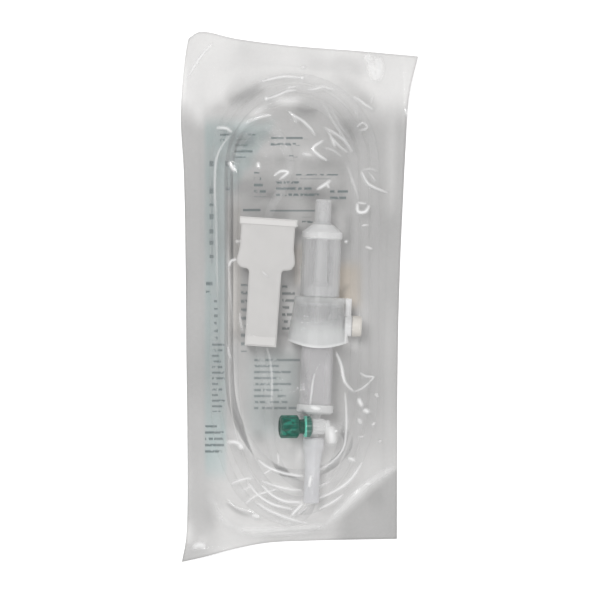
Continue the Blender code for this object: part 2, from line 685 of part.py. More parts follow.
def build_outlet_sleeve(look, stack):
    grip = SLEEVE_FOOT + SLEEVE_GRIP
    entry = SLEEVE_TOP - SPIGOT_LENGTH - TOUCH
    tube_hole = TUBE_DIAMETER / 2 + TOUCH
    middle = 0.5 * (SLEEVE_TOP_RADIUS + SLEEVE_NECK_RADIUS) - 0.2 * MM
    profile = [
        (SPIGOT_RADIUS + TOUCH, SLEEVE_TOP, 0),
        (SLEEVE_TOP_RADIUS - 0.5 * MM, SLEEVE_TOP, 0),
        (SLEEVE_TOP_RADIUS, SLEEVE_TOP - 0.7 * MM, 0),
        (SLEEVE_TOP_RADIUS, SLEEVE_TOP - SLEEVE_SHOULDER, 0),
        (middle, SLEEVE_TOP - SLEEVE_SHOULDER - 0.45 * SLEEVE_TAPER, 0),
        (SLEEVE_NECK_RADIUS, SLEEVE_TOP - SLEEVE_SHOULDER - SLEEVE_TAPER, 0),
        (SLEEVE_NECK_RADIUS, SLEEVE_FOOT + 0.4 * MM, 0),
        (SLEEVE_NECK_RADIUS - 0.4 * MM, SLEEVE_FOOT, 0),
        (tube_hole, SLEEVE_FOOT, 0),
        (tube_hole, grip, 0),
        (STUB_BORE, grip, 0),
        (STUB_BORE, entry, 0),
        (SPIGOT_RADIUS + TOUCH, entry, 0),
    ]
    return put("outlet_sleeve", turned(profile, 24), look, stack)


def clamp_outline(inset=0.0):
    """The clamp's T from its foot round to its foot again, drawn in by inset."""
    stem, head = CLAMP_STEM_HALF - inset, CLAMP_HEAD_HALF - inset
    head_foot = CLAMP_LENGTH - CLAMP_HEAD + inset
    radius = CLAMP_CORNER - inset
    corner = arc((head - radius, head_foot + radius), radius, -90, 0, 6)
    lip = CLAMP_LENGTH - CLAMP_LIP - 0.6 * MM
    fillet = CLAMP_FILLET + inset
    side = [
        (stem - 0.2 * MM, inset),
        *arc((stem + fillet, head_foot - fillet), fillet, 180, 90, 5),
        *corner,
        (head - CLAMP_WAIST, head_foot + radius + 6 * MM),
        (head - CLAMP_WAIST, lip),
        (head - 0.1 * MM, lip + 0.9 * MM),
        (head - 0.1 * MM, CLAMP_LENGTH - inset),
    ]
    return side + [(-x, y) for x, y in side[::-1]]


def build_clamp_housing(look, clamp):
    roof = PLATE_Z + CLAMP_PLATE
    channel = CLAMP_STEM_HALF - CLAMP_WALL
    head_foot = CLAMP_LENGTH - CLAMP_HEAD
    inside = [(x, y) for x, y in clamp_outline(CLAMP_WALL) if y > head_foot and x > 0]
    right_pocket = [(CLAMP_STEM_HALF, inside[0][1]), *inside, (CLAMP_STEM_HALF, inside[-1][1])]
    right_pocket = [p for p in dict.fromkeys(right_pocket) if p[0] >= CLAMP_STEM_HALF]
    under = BED + CLAMP_FOOT
    reach = CLAMP_HEAD_HALF + 2 * MM
    slot_low, slot_high = ROLLER_REST - ROLLER_TRAVEL, ROLLER_REST
    slot_radius = PIN_RADIUS + RUNNING
    slot = arc((0, 0), slot_radius, 0, 180, 8) + arc((0, slot_low - slot_high), slot_radius, 180, 360, 8)
    slot_cut = prism(slot, -reach, reach)
    turn = Matrix.Translation((0, slot_high, ROLLER_Z)) @ Matrix.Rotation(math.pi / 2, 4, "Y")
    bmesh.ops.transform(slot_cut, matrix=turn, verts=slot_cut.verts)
    below, past_head = under - 1 * MM, CLAMP_LENGTH + 2 * MM
    wing_foot, wing_top = head_foot - 3 * MM, roof - CLAMP_SKIRT
    cuts = {
        "channel": box((-channel, -2 * MM, below), (channel, past_head, PLATE_Z)),
        "wing_right": box((CLAMP_STEM_HALF, wing_foot, below), (reach, past_head, wing_top)),
        "wing_left": box((-reach, wing_foot, below), (-CLAMP_STEM_HALF, past_head, wing_top)),
        "pocket_right": prism(right_pocket, below, PLATE_Z),
        "pocket_left": prism([(-x, y) for x, y in right_pocket[::-1]], below, PLATE_Z),
        "roller_slot": slot_cut,
    }
    body = prism(clamp_outline(), under, roof)
    top_edges = [edge for edge in body.edges if all(vertex.co.z > roof - 1e-6 for vertex in edge.verts)]
    bmesh.ops.bevel(body, geom=top_edges, offset=0.5 * MM, segments=2, affect="EDGES", clamp_overlap=True)
    housing = put("clamp_housing", body, look, clamp)
    for name, bm in cuts.items():
        boolean(housing, put(name, bm, None, clamp, helper=True), "DIFFERENCE")
    tube_half = TUBE_DIAMETER / 2 + TOUCH
    guide_foot = CLAMP_TUBE_Z - 0.5 * TUBE_DIAMETER
    guide_roof = PLATE_Z + 0.4 * CLAMP_PLATE
    for end, start in (("foot", 0.8 * MM), ("head", CLAMP_LENGTH - GUIDE_LENGTH - 0.8 * MM)):
        for side, sign in (("right", 1), ("left", -1)):
            xs = sorted((sign * tube_half, sign * (channel + 0.5 * CLAMP_WALL)))
            guide = box((xs[0], start, guide_foot), (xs[1], start + GUIDE_LENGTH, guide_roof))
            boolean(housing, put("guide_" + end + "_" + side, guide, None, clamp, helper=True), "UNION")
    lip_low, lip_high = CLAMP_LENGTH - CLAMP_LIP, CLAMP_LENGTH - 0.6 * MM
    half = CLAMP_HEAD_HALF - 0.6 * MM
    lip = box((-half, lip_low, roof - 0.5 * CLAMP_PLATE), (half, lip_high, roof + CLAMP_LIP_PROUD))
    boolean(housing, put("head_lip", lip, None, clamp, helper=True), "UNION")
    half = CLAMP_STEM_HALF - 0.8 * MM
    lip = box((-half, 0.6 * MM, roof - 0.5 * CLAMP_PLATE), (half, 4.4 * MM, roof + 0.6 * CLAMP_LIP_PROUD))
    boolean(housing, put("foot_lip", lip, None, clamp, helper=True), "UNION")
    nib_tip, nib_root = -CLAMP_HEAD_HALF - 1.1 * MM, -CLAMP_HEAD_HALF + CLAMP_WALL
    nib = rod(1.0 * MM, nib_tip, nib_root, 14, (-ROLLER_REST, PLATE_Z - 2 * MM), "X")
    bmesh.ops.transform(nib, matrix=Matrix.Scale(-1, 4, (0, 1, 0)), verts=nib.verts)
    boolean(housing, put("hook_nib", nib, None, clamp, helper=True), "UNION")
    return housing


def build_roller_wheel(look, clamp):
    half = CLAMP_STEM_HALF - CLAMP_WALL - ROLLER_SIDE
    pin_end = CLAMP_STEM_HALF - 0.4 * MM
    edge = 0.6 * MM
    core = ROLLER_RADIUS - ROLLER_RIB
    side = [
        (0, pin_end, 0),
        (PIN_RADIUS - 0.2 * MM, pin_end, 0),
        (PIN_RADIUS, pin_end - 0.3 * MM, 0),
        (PIN_RADIUS, half, 0),
        (core - edge, half, 0),
        (core, half - edge, ROLLER_RIB),
    ]
    profile = side + [(radius, -along, rib) for radius, along, rib in side[::-1]]
    wheel = put("roller_wheel", turned(profile, 40, 20, (0, 0), "X"), look, clamp)
    wheel.location = (0, ROLLER_REST, ROLLER_Z)
    return wheel


def build_cone_connector(look, connector):
    foot, top = -HUB_LENGTH + 1.5 * MM, 1.5 * MM
    tail = foot - SOCKET_COLLAR
    seat = tail + TUBE_SOCKET
    hole = TUBE_DIAMETER / 2 + TOUCH
    profile = [
        (hole, tail, 0),
        (hole + 0.5 * MM, tail, 0),
        (hole + 0.6 * MM, foot, 0),
        (HUB_RADIUS - 0.4 * MM, foot, 0),
        (HUB_RADIUS, foot + 0.5 * MM, HUB_RIB),
        (HUB_RADIUS, top - 0.5 * MM, HUB_RIB),
        (HUB_RADIUS - 0.3 * MM, top, 0),
        (TAPER_BASE, top, 0),
        (TAPER_TIP, top + TAPER_LENGTH, 0),
        (STUB_BORE * 0.8, top + TAPER_LENGTH, 0),
        (STUB_BORE * 0.8, seat, 0),
        (hole, seat, 0),
    ]
    return put("cone_connector", turned(profile, 36, 12), look, connector)


def build_locking_collar(look, connector):
    foot = 1.5 * MM + TOUCH
    top = foot + COLLAR_LENGTH
    inner = TAPER_BASE + TOUCH
    profile = [
        (inner, foot, 0),
        (COLLAR_RADIUS - 0.3 * MM, foot, 0),
        (COLLAR_RADIUS, foot + 0.3 * MM, COLLAR_RIB),
        (COLLAR_RADIUS, top - 0.3 * MM, COLLAR_RIB),
        (COLLAR_RADIUS - 0.3 * MM, top, 0),
        (COLLAR_RADIUS - COLLAR_WALL, top, 0),
        (COLLAR_RADIUS - COLLAR_WALL, foot + COLLAR_BACK, 0),
        (inner, foot + COLLAR_BACK, 0),
    ]
    return put("locking_collar", turned(profile, 36, 18), look, connector)


def build_end_cap(look, connector):
    collar_foot = 1.5 * MM + TOUCH
    foot = collar_foot + COLLAR_BACK + TOUCH
    head = collar_foot + COLLAR_LENGTH + END_CAP_NECK
    top = head + END_CAP_HEAD
    bore = TAPER_BASE + TOUCH
    bore_end = 1.5 * MM + TAPER_LENGTH + TOUCH
    neck = min(END_CAP_NECK_RADIUS, COLLAR_RADIUS - COLLAR_WALL - TOUCH)
    edge = 0.6 * MM
    profile = [
        (bore, foot, 0),
        (neck, foot, 0),
        (neck, head, 0),
        (END_CAP_RADIUS - edge, head, 0.5 * END_CAP_SCALLOP),
        (END_CAP_RADIUS, head + edge, END_CAP_SCALLOP),
        (END_CAP_RADIUS, top - edge, END_CAP_SCALLOP),
        (END_CAP_RADIUS - edge, top, 0.5 * END_CAP_SCALLOP),
        (0.62 * END_CAP_RADIUS, top, 0),
        (0.5 * END_CAP_RADIUS, top - END_CAP_DISH, 0),
        (0, top - END_CAP_DISH, 0),
        (0, bore_end, 0),
        (TAPER_TIP + TOUCH, bore_end, 0),
    ]
    return put("end_cap", turned(profile, 40, 10), look, connector)


def half_turn(x_from, x_to, shoulder, apex, heights, count=10):
    """Points of an oval's end, over its apex from side to side, with its heights at start, apex and end."""
    middle, half = (x_from + x_to) / 2, (x_to - x_from) / 2
    found = []
    for i in range(count + 1):
        turn = math.pi * i / count
        z = np.interp(i / count, (0, 0.5, 1), heights)
        found.append((middle - half * math.cos(turn), shoulder + (apex - shoulder) * math.sin(turn), z))
    return found


def side_run(x, y_from, y_to, z):
    """Points of a straight side, the outer ones near the turns that it joins."""
    inset = 9 * MM if y_to > y_from else -9 * MM
    return [(x, y, z) for y in (y_from + inset, (y_from + y_to) / 2, y_to - inset)]


def tube_route():
    """The tube from the chamber's sleeve to the connector, and the places that hold it."""
    low = (LAYER_1, LAYER_1, LAYER_1)
    raised = LAYER_2 + 0.1 * MM
    m = MM
    start = Vector((STACK_AT[0], STACK_AT[1], STACK_Z))
    down = Matrix.Rotation(math.radians(STACK_LEAN), 3, "Z") @ Vector((0, 1, 0))
    inside = start + down * (SLEEVE_FOOT + SLEEVE_GRIP - TOUCH)
    mouth = start + down * (SLEEVE_FOOT - 0.5 * m)
    leaving = [inside, 0.5 * (inside + mouth), mouth]
    leaving += [(3.4 * m, -96.4 * m, 9.7 * m), (-0.6 * m, -99.9 * m, 8.2 * m)]
    leaving += [(-7.5 * m, -100.4 * m, 5.8 * m), (-16 * m, -96.9 * m, 3.2 * m)]
    leaving += [(-24.6 * m, -90.0 * m, LAYER_1), (-31.4 * m, -79.2 * m, LAYER_1)]
    leaving += [(-36 * m, -65 * m, LAYER_1), (-38.0 * m, -48 * m, LAYER_1), (-38.3 * m, 6 * m, LAYER_1)]
    turns = [(-38.3 * m, 51 * m, LAYER_1)]
    turns += half_turn(-38.3 * m, 33.8 * m, 60 * m, 98.6 * m, low)
    turns += side_run(33.9 * m, 60 * m, -37 * m, LAYER_1)
    turns += half_turn(33.8 * m, -33.9 * m, -37 * m, -96.2 * m, low)
    turns += side_run(-34.0 * m, -37 * m, 58 * m, LAYER_1)
    turns += half_turn(-33.9 * m, 29.2 * m, 58 * m, 93.8 * m, low)
    turns += side_run(29.3 * m, 58 * m, -36 * m, LAYER_1)
    turns += half_turn(29.2 * m, -29.4 * m, -36 * m, -91.6 * m, low)
    turns += side_run(-29.5 * m, -36 * m, 58 * m, LAYER_1)
    turns += half_turn(-29.4 * m, -4.3 * m, 58 * m, 76.4 * m, (LAYER_1, 3.4 * m, 8.2 * m), 8)
    clamp = Matrix.Translation((*CLAMP_AT, 0)) @ Matrix.Rotation(math.radians(CLAMP_LEAN), 4, "Z")
    stations = (CLAMP_LENGTH + 1.5 * m, 0.5 * CLAMP_LENGTH, -1.5 * m)
    through = [clamp @ Vector((0, y, CLAMP_TUBE_Z)) for y in stations]
    turns += [(-7.0 * m, 49.8 * m, 11.8 * m), (-11.2 * m, 42.6 * m, CLAMP_TUBE_Z - 0.4 * m)]
    turns += through
    turns += [(-15.6 * m, -34 * m, 12.6 * m), (-13.8 * m, -45 * m, 10.8 * m), (-13.4 * m, -56 * m, 9.4 * m)]
    turns += [(-12.7 * m, -66 * m, 8.3 * m), (-9.8 * m, -74.6 * m, CROSSING + 0.4 * m)]
    turns += [(-5.0 * m, -81.0 * m, CROSSING)]
    turns += [(0.8 * m, -84.5 * m, 4.8 * m), (6.6 * m, -84.4 * m, 3.1 * m), (12.0 * m, -80.2 * m, LAYER_1)]
    turns += [(16.6 * m, -72.4 * m, LAYER_1), (20.4 * m, -61.0 * m, LAYER_1), (23.4 * m, -47 * m, LAYER_1)]
    turns += [(24.6 * m, -30 * m, LAYER_1), (24.8 * m, 8 * m, LAYER_1), (24.7 * m, 47 * m, LAYER_1)]
    turns += half_turn(24.6 * m, -31.7 * m, 56 * m, 88.8 * m, (LAYER_1, LAYER_2 + 0.8 * m, raised))
    turns += side_run(-31.7 * m, 56 * m, -30 * m, raised)
    arriving = [(-31.6 * m, -30 * m, raised), (-31 * m, -42 * m, 6.9 * m), (-29 * m, -52 * m, 7.2 * m)]
    arriving += [(-25.4 * m, -60.5 * m, 7.2 * m), (-20.4 * m, -68.2 * m, 6.2 * m)]
    arriving += [(-14.5 * m, -74.6 * m, 3.6 * m), (-8 * m, -78.4 * m, LAYER_1)]
    arriving += [(0, -79.4 * m, 2.8 * m), (7.0 * m, -78.6 * m, 4.6 * m)]
    arriving += [(12.8 * m, -76.2 * m, 7.2 * m), (18.4 * m, -71.6 * m, 9.6 * m)]
    arriving += [(21.9 * m, -66.2 * m, 11.6 * m)]
    arriving += [(21.2 * m, -61.9 * m, 13.3 * m), (18.2 * m, -58.8 * m, 14.8 * m)]
    connector = connector_matrix()
    tail = 1.5 * m - HUB_LENGTH - SOCKET_COLLAR
    into = [connector @ Vector((0, y, 0)) for y in (tail - 0.8 * m, tail + TUBE_SOCKET - TOUCH)]
    route = [tuple(place) for place in leaving + turns + arriving + into]
    return route, [mouth, through[0], through[2], into[0]]


def thinned(line, held):
    """As few points of a fine line as keep it within the sag, and those nearest to the places held."""
    needed = {int(np.argmin(np.linalg.norm(line - np.array(place), axis=1))) for place in held}
    kept = [0]
    for i in range(2, len(line)):
        chord = line[i] - line[kept[-1]]
        chord /= np.linalg.norm(chord)
        passed = line[kept[-1] + 1:i] - line[kept[-1]]
        off = np.linalg.norm(passed - (passed @ chord)[:, None] * chord, axis=1).max()
        if off > TUBE_SAG or i - 1 in needed:
            kept.append(i - 1)
    return line[kept + [len(line) - 1]]


def build_tubing(look):
    """The whole tube, its points closer where it bends."""
    route, held = tube_route()
    line = smooth_curve(route, 1 * MM)
    for _ in range(4):
        line[1:-1] = (line[:-2] + 2 * line[1:-1] + line[2:]) / 4
    kept = thinned(line, held)
    curve = bpy.data.curves.new("tubing", "CURVE")
    curve.dimensions = "3D"
    curve.bevel_depth = TUBE_DIAMETER / 2
    curve.bevel_resolution = 2
    curve.use_fill_caps = True
    spline = curve.splines.new("POLY")
    spline.points.add(len(kept) - 1)
    for point, place in zip(spline.points, kept):
        point.co = (*place, 1)
    curve.materials.append(look)
    tube = bpy.data.objects.new("tubing", curve)
    bpy.context.scene.collection.objects.link(tube)
    return tube


def connector_matrix():
    place = Matrix.Translation((*CONNECTOR_AT, CONNECTOR_Z))
    tilt = Matrix.Rotation(math.radians(CONNECTOR_TILT), 4, "Y")
    return place @ tilt @ Matrix.Rotation(math.pi / 2, 4, "Z")


def main():
    clear_scene()
    frosted = material("frosted_plastic", (0.80, 0.81, 0.82), 0.45, alpha=0.75)
    white = material("white_plastic", (0.78, 0.77, 0.76), 0.5)
    cream = material("cream_plastic", (0.80, 0.78, 0.72), 0.5)
    clear = material("clear_plastic", (0.85, 0.87, 0.88), 0.12, alpha=0.3, transmission=0.6)
    soft_clear = material("clear_tube", (0.86, 0.87, 0.87), 0.25, alpha=0.5)
    membrane = material("filter_membrane", (0.85, 0.85, 0.84), 0.8)
    green = material("green_plastic", (0.02, 0.18, 0.11), 0.4)
    web = material("printed_web", (0.62, 0.65, 0.66), 0.6)
    film = material("clear_film", (0.85, 0.87, 0.88), 0.15, alpha=0.25)
    stack = axis_empty("stack_axis", (*STACK_AT, STACK_Z), Matrix.Rotation(math.radians(STACK_LEAN), 4, "Z"))
    clamp = axis_empty("clamp_axis", (*CLAMP_AT, 0), Matrix.Rotation(math.radians(CLAMP_LEAN), 4, "Z"))
    joined = connector_matrix()
    connector = axis_empty("connector_axis", joined.translation, joined.to_3x3().to_4x4())
    bpy.context.view_layer.update()
    contents = [
        build_spike_cap(frosted, stack),
        build_vented_spike(frosted, stack),
        build_vent_filter(membrane, stack),
        build_vent_cap(cream, stack),
        build_drip_tube(white, stack),
        build_drip_chamber(clear, stack),
        build_fluid_filter(membrane, stack),
        build_chamber_base(clear, stack),
        build_outlet_sleeve(frosted, stack),
        build_clamp_housing(white, clamp),
        build_roller_wheel(white, clamp),
        build_cone_connector(clear, connector),
        build_locking_collar(green, connector),
        build_end_cap(green, connector),
        build_tubing(soft_clear),
    ]
    bpy.context.view_layer.update()
    build_back_web(web)
    build_front_film(film, contents)


main()
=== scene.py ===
"""The dressed infusion set: its clear pouch, the coiled tube and the finishes of its mouldings."""

import math

import bpy
import numpy as np
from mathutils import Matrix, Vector
from mathutils.bvhtree import BVHTree


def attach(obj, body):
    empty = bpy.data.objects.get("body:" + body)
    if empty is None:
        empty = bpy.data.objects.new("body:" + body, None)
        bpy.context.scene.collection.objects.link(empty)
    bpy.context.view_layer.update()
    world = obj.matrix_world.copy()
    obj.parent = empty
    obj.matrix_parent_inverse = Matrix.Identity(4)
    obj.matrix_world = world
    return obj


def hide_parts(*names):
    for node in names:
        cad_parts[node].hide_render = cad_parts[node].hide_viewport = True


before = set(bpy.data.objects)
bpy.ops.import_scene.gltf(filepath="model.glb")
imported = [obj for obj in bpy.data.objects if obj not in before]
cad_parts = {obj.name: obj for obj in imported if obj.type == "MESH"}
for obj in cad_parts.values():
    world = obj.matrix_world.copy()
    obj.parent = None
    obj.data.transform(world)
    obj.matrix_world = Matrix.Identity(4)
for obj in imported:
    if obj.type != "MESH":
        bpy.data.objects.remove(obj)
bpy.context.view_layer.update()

MM = 0.001

# The photograph's pixel is 0.45 mm of the pouch, and PHOTO_MIDDLE is the pixel at the origin.
PHOTO_SCALE = 0.45 * MM
PHOTO_MIDDLE = (299.5, 297.0)
PHOTO_SIDE = 600

# The pouch's four edges in millimetres, as its CAD webs have them: left and right upwards, foot and
# top rightwards.
LEFT_EDGE = [
    (-52.9, -119.2), (-50.9, -107.2), (-50.9, -20), (-52.0, 55), (-53.3, 82), (-51.1, 110.2),
    (-49.9, 116.2),
]
RIGHT_EDGE = [(43.8, -108.8), (44.0, -40), (45.0, 8), (47.6, 65), (49.2, 90), (53.3, 108.2)]
FOOT_EDGE = [LEFT_EDGE[0], (-43, -116.9), (-30, -113.4), (-15, -110.6), (5, -109.6), RIGHT_EDGE[0]]
TOP_EDGE = [LEFT_EDGE[-1], (-44.9, 119.2), (-28, 116.1), (-5, 113.1), (25, 110.8), RIGHT_EDGE[-1]]

# The pouch's width at its waist and its length, the seals along its edges, and the share of the way
# out from which its free edges curl up, by at most CURL_HEIGHT.
WAIST = 50.9 * MM + 44.0 * MM
POUCH_LENGTH = 238.4 * MM
LEFT_SEAL = 7.0 * MM
RIGHT_SEAL = 5.5 * MM
HEADER_SEAL = 9.0 * MM
FOOT_SEAL = 4.4 * MM
CURL_STARTS = 0.86
CURL_HEIGHT = 1.3 * MM

# The web's thickness and its grid's points across and along.
WEB_THICKNESS = 0.2 * MM
WEB_POINTS = (73, 161)

# The film's grid: points across and along between the seals, and cells over each seal.
FILM_POINTS = (185, 465)
SEAL_CELLS = 8

# How the film lies: its height on the web, its clearance over the contents, the steps and rounds in
# which it is drawn taut, and how far off the contents it sways freely.
FILM_LIES = 0.28 * MM
FILM_CLEAR = 0.35 * MM
TAUT_STEPS = (8, 4, 2, 1)
TAUT_ROUNDS = 500
SWAYS_FROM = 1.5 * MM

# The film's whiteness: its veil all over, the painted highlight along its ridges, where it
# touches the contents, and how sharp a bend counts as a ridge.
FILM_VEIL = 0.045
RIDGE_PAINTED_HIGHLIGHT = 0.3
TOUCHING_CLEARER = 0.035
RIDGE_BEND = 0.02 * MM

# The paper's tone, from 0, black, to 1: along the middle, then the painted light that the header and
# the foot add, and the painted shade that its right corner adds.
PAPER_TONE = 0.45
HEADER_TONE = 0.31
LOW_TONE = 0.22
CORNER_TONE = -0.23

# What the film is drawn over, and a height above all of it.
CONTENTS = (
    "spike_cap", "vented_spike", "vent_cap", "drip_chamber", "chamber_base", "outlet_sleeve",
    "clamp_housing", "cone_connector", "locking_collar", "end_cap", "tubing",
)
OVERHEAD = 0.2

# The tube, and the heights in millimetres at which its layers lie and cross.
TUBE_DIAMETER = 4.1 * MM
LAYER_1 = 2.55
LAYER_2 = 6.5
CROSSING = 7.05

# The tube's route in millimetres, as part.py has it. A turn is an oval end: the x where it starts
# and stops, the y of both, and its apex. In LONG_TURNS the x and the far y of the straight side that
# it leads to come after it, and in the other turns the three heights that it passes.
TUBE_LEAVES = [
    (5.58, -81.53, 10.5), (5.35, -87.12, 10.5), (5.11, -92.72, 10.5), (3.4, -96.4, 9.7),
    (-0.6, -99.9, 8.2), (-7.5, -100.4, 5.8), (-16.0, -96.9, 3.2), (-24.6, -90.0, LAYER_1),
    (-31.4, -79.2, LAYER_1), (-36.0, -65.0, LAYER_1), (-38.0, -48.0, LAYER_1), (-38.3, 6.0, LAYER_1),
    (-38.3, 51.0, LAYER_1),
]
LONG_TURNS = [
    (-38.3, 33.8, 60, 98.6, 33.9, -37),
    (33.8, -33.9, -37, -96.2, -34.0, 58),
    (-33.9, 29.2, 58, 93.8, 29.3, -36),
    (29.2, -29.4, -36, -91.6, -29.5, 58),
]
TURN_TO_CLAMP = (-29.4, -4.3, 58, 76.4, (LAYER_1, 3.4, 8.2))
TUBE_THROUGH_CLAMP = [
    (-7.0, 49.8, 11.8), (-11.2, 42.6, 13.95), (-13.6, 36.67, 14.35), (-15.6, 6.59, 14.35),
    (-17.6, -23.5, 14.35), (-15.6, -34.0, 12.6), (-13.8, -45.0, 10.8), (-13.4, -56.0, 9.4),
    (-12.7, -66.0, 8.3), (-9.8, -74.6, CROSSING + 0.4), (-5.0, -81.0, CROSSING),
]
TUBE_SMALL_LOOP = [
    (0.8, -84.5, 4.8), (6.6, -84.4, 3.1), (12.0, -80.2, LAYER_1), (16.6, -72.4, LAYER_1),
    (20.4, -61.0, LAYER_1), (23.4, -47.0, LAYER_1), (24.6, -30.0, LAYER_1), (24.8, 8.0, LAYER_1),
    (24.7, 47.0, LAYER_1),
]
LAST_TURN = (24.6, -31.7, 56, 88.8, (LAYER_1, LAYER_2 + 0.7, LAYER_2))
LAST_SIDE = (-31.7, 56, -30, LAYER_2)
TUBE_ARRIVES = [
    (-31.6, -30.0, LAYER_2), (-31.0, -42.0, 6.9), (-29.0, -52.0, 7.2), (-25.4, -60.5, 7.2),
    (-20.4, -68.2, 6.2), (-14.5, -74.6, 3.6), (-8.0, -78.4, LAYER_1), (0.0, -79.4, 2.8),
    (7.0, -78.6, 4.6), (12.8, -76.2, 7.2), (18.4, -71.6, 9.6), (21.9, -66.2, 11.6),
    (21.2, -61.9, 13.3), (18.2, -58.8, 14.8), (13.89, -57.8, 15.68), (7.49, -57.8, 16.81),
]

# Where the mouldings lie, as part.py has them: a point of each axis, and its turn from +Y in degrees.
STACK_AT = (9.0 * MM, 0.0)
STACK_LEAN = -2.4
CLAMP_AT = (-17.5 * MM, -22.0 * MM)
CLAMP_LEAN = -3.8
GREEN_CAP_Y = -57.8 * MM
GREEN_CAP_Z = 16.9 * MM
GREEN_CAP_GRIPS = 9.0

# Places along those axes, each from where it starts to where it is whole: the spike cap's collar and
# tip, the guard's rim with its painted highlight, its milky foot and shoulder, the lips at the clamp's
# two ends, which carry painted light, and, across the stack, the guard's vent. The rim bows by RIM_BOW
# over the guard's half width.
CAP_COLLAR = (26.0 * MM, 32.4 * MM)
CAP_TIP = (42.6 * MM, 43.2 * MM)
GUARD_RIM = (-22.6 * MM, -21.0 * MM)
GUARD_FOOT = (-18 * MM, -7 * MM)
GUARD_SHOULDER = (-5 * MM, -1 * MM)
GUARD_HALF = 13.7 * MM
RIM_BOW = 3.0 * MM
VENT = (11.6 * MM, 12.2 * MM)
CLAMP_HEAD_LIP = (54.0 * MM, 54.6 * MM)
CLAMP_FOOT_LIP = (4.0 * MM, 4.8 * MM)

# The colours of the web, its print, the film and its painted glints and shade, the floor, and the
# glow that whitens the floor.
PAPER = (1.0, 0.99, 0.98)
PAPER_GREEN = (0.80, 0.93, 0.925)
PAPER_WARM = (1.0, 0.88, 0.74)
INK = (0.10, 0.135, 0.14)
BLACK = (0.0, 0.0, 0.0)
VEIL = (0.64, 0.64, 0.645)
# The white of the film's painted glints, and the grey of its painted shade.
PAINTED_GLINT_WHITE = (0.95, 0.95, 0.95)
PAINTED_SHADE_GREY = (0.12, 0.12, 0.125)
FLOOR_GREY = (0.92, 0.92, 0.92)
FLOOR_GLOW = (0.35, 0.35, 0.35)

# The skin that every moulding has: the scale of its grain, and how strong its bump is.
SKIN_GRAIN = 500.0
SKIN_BUMP = 0.12

# The studio: the room's light on the object, where 1 is white, the lamps with their place, size and
# power, and the camera straight above.
ROOM_LIGHT = 0.52
LAMPS = [("key", (-0.28, 0.32, 1.2), 0.42, 5.8), ("fill", (0.38, -0.32, 1.1), 0.36, 3.0)]
FLOOR_SIZE = 3.0
FLOOR_DROP = 0.05 * MM
CAMERA_HEIGHT = 2.0
SENSOR_WIDTH = 36
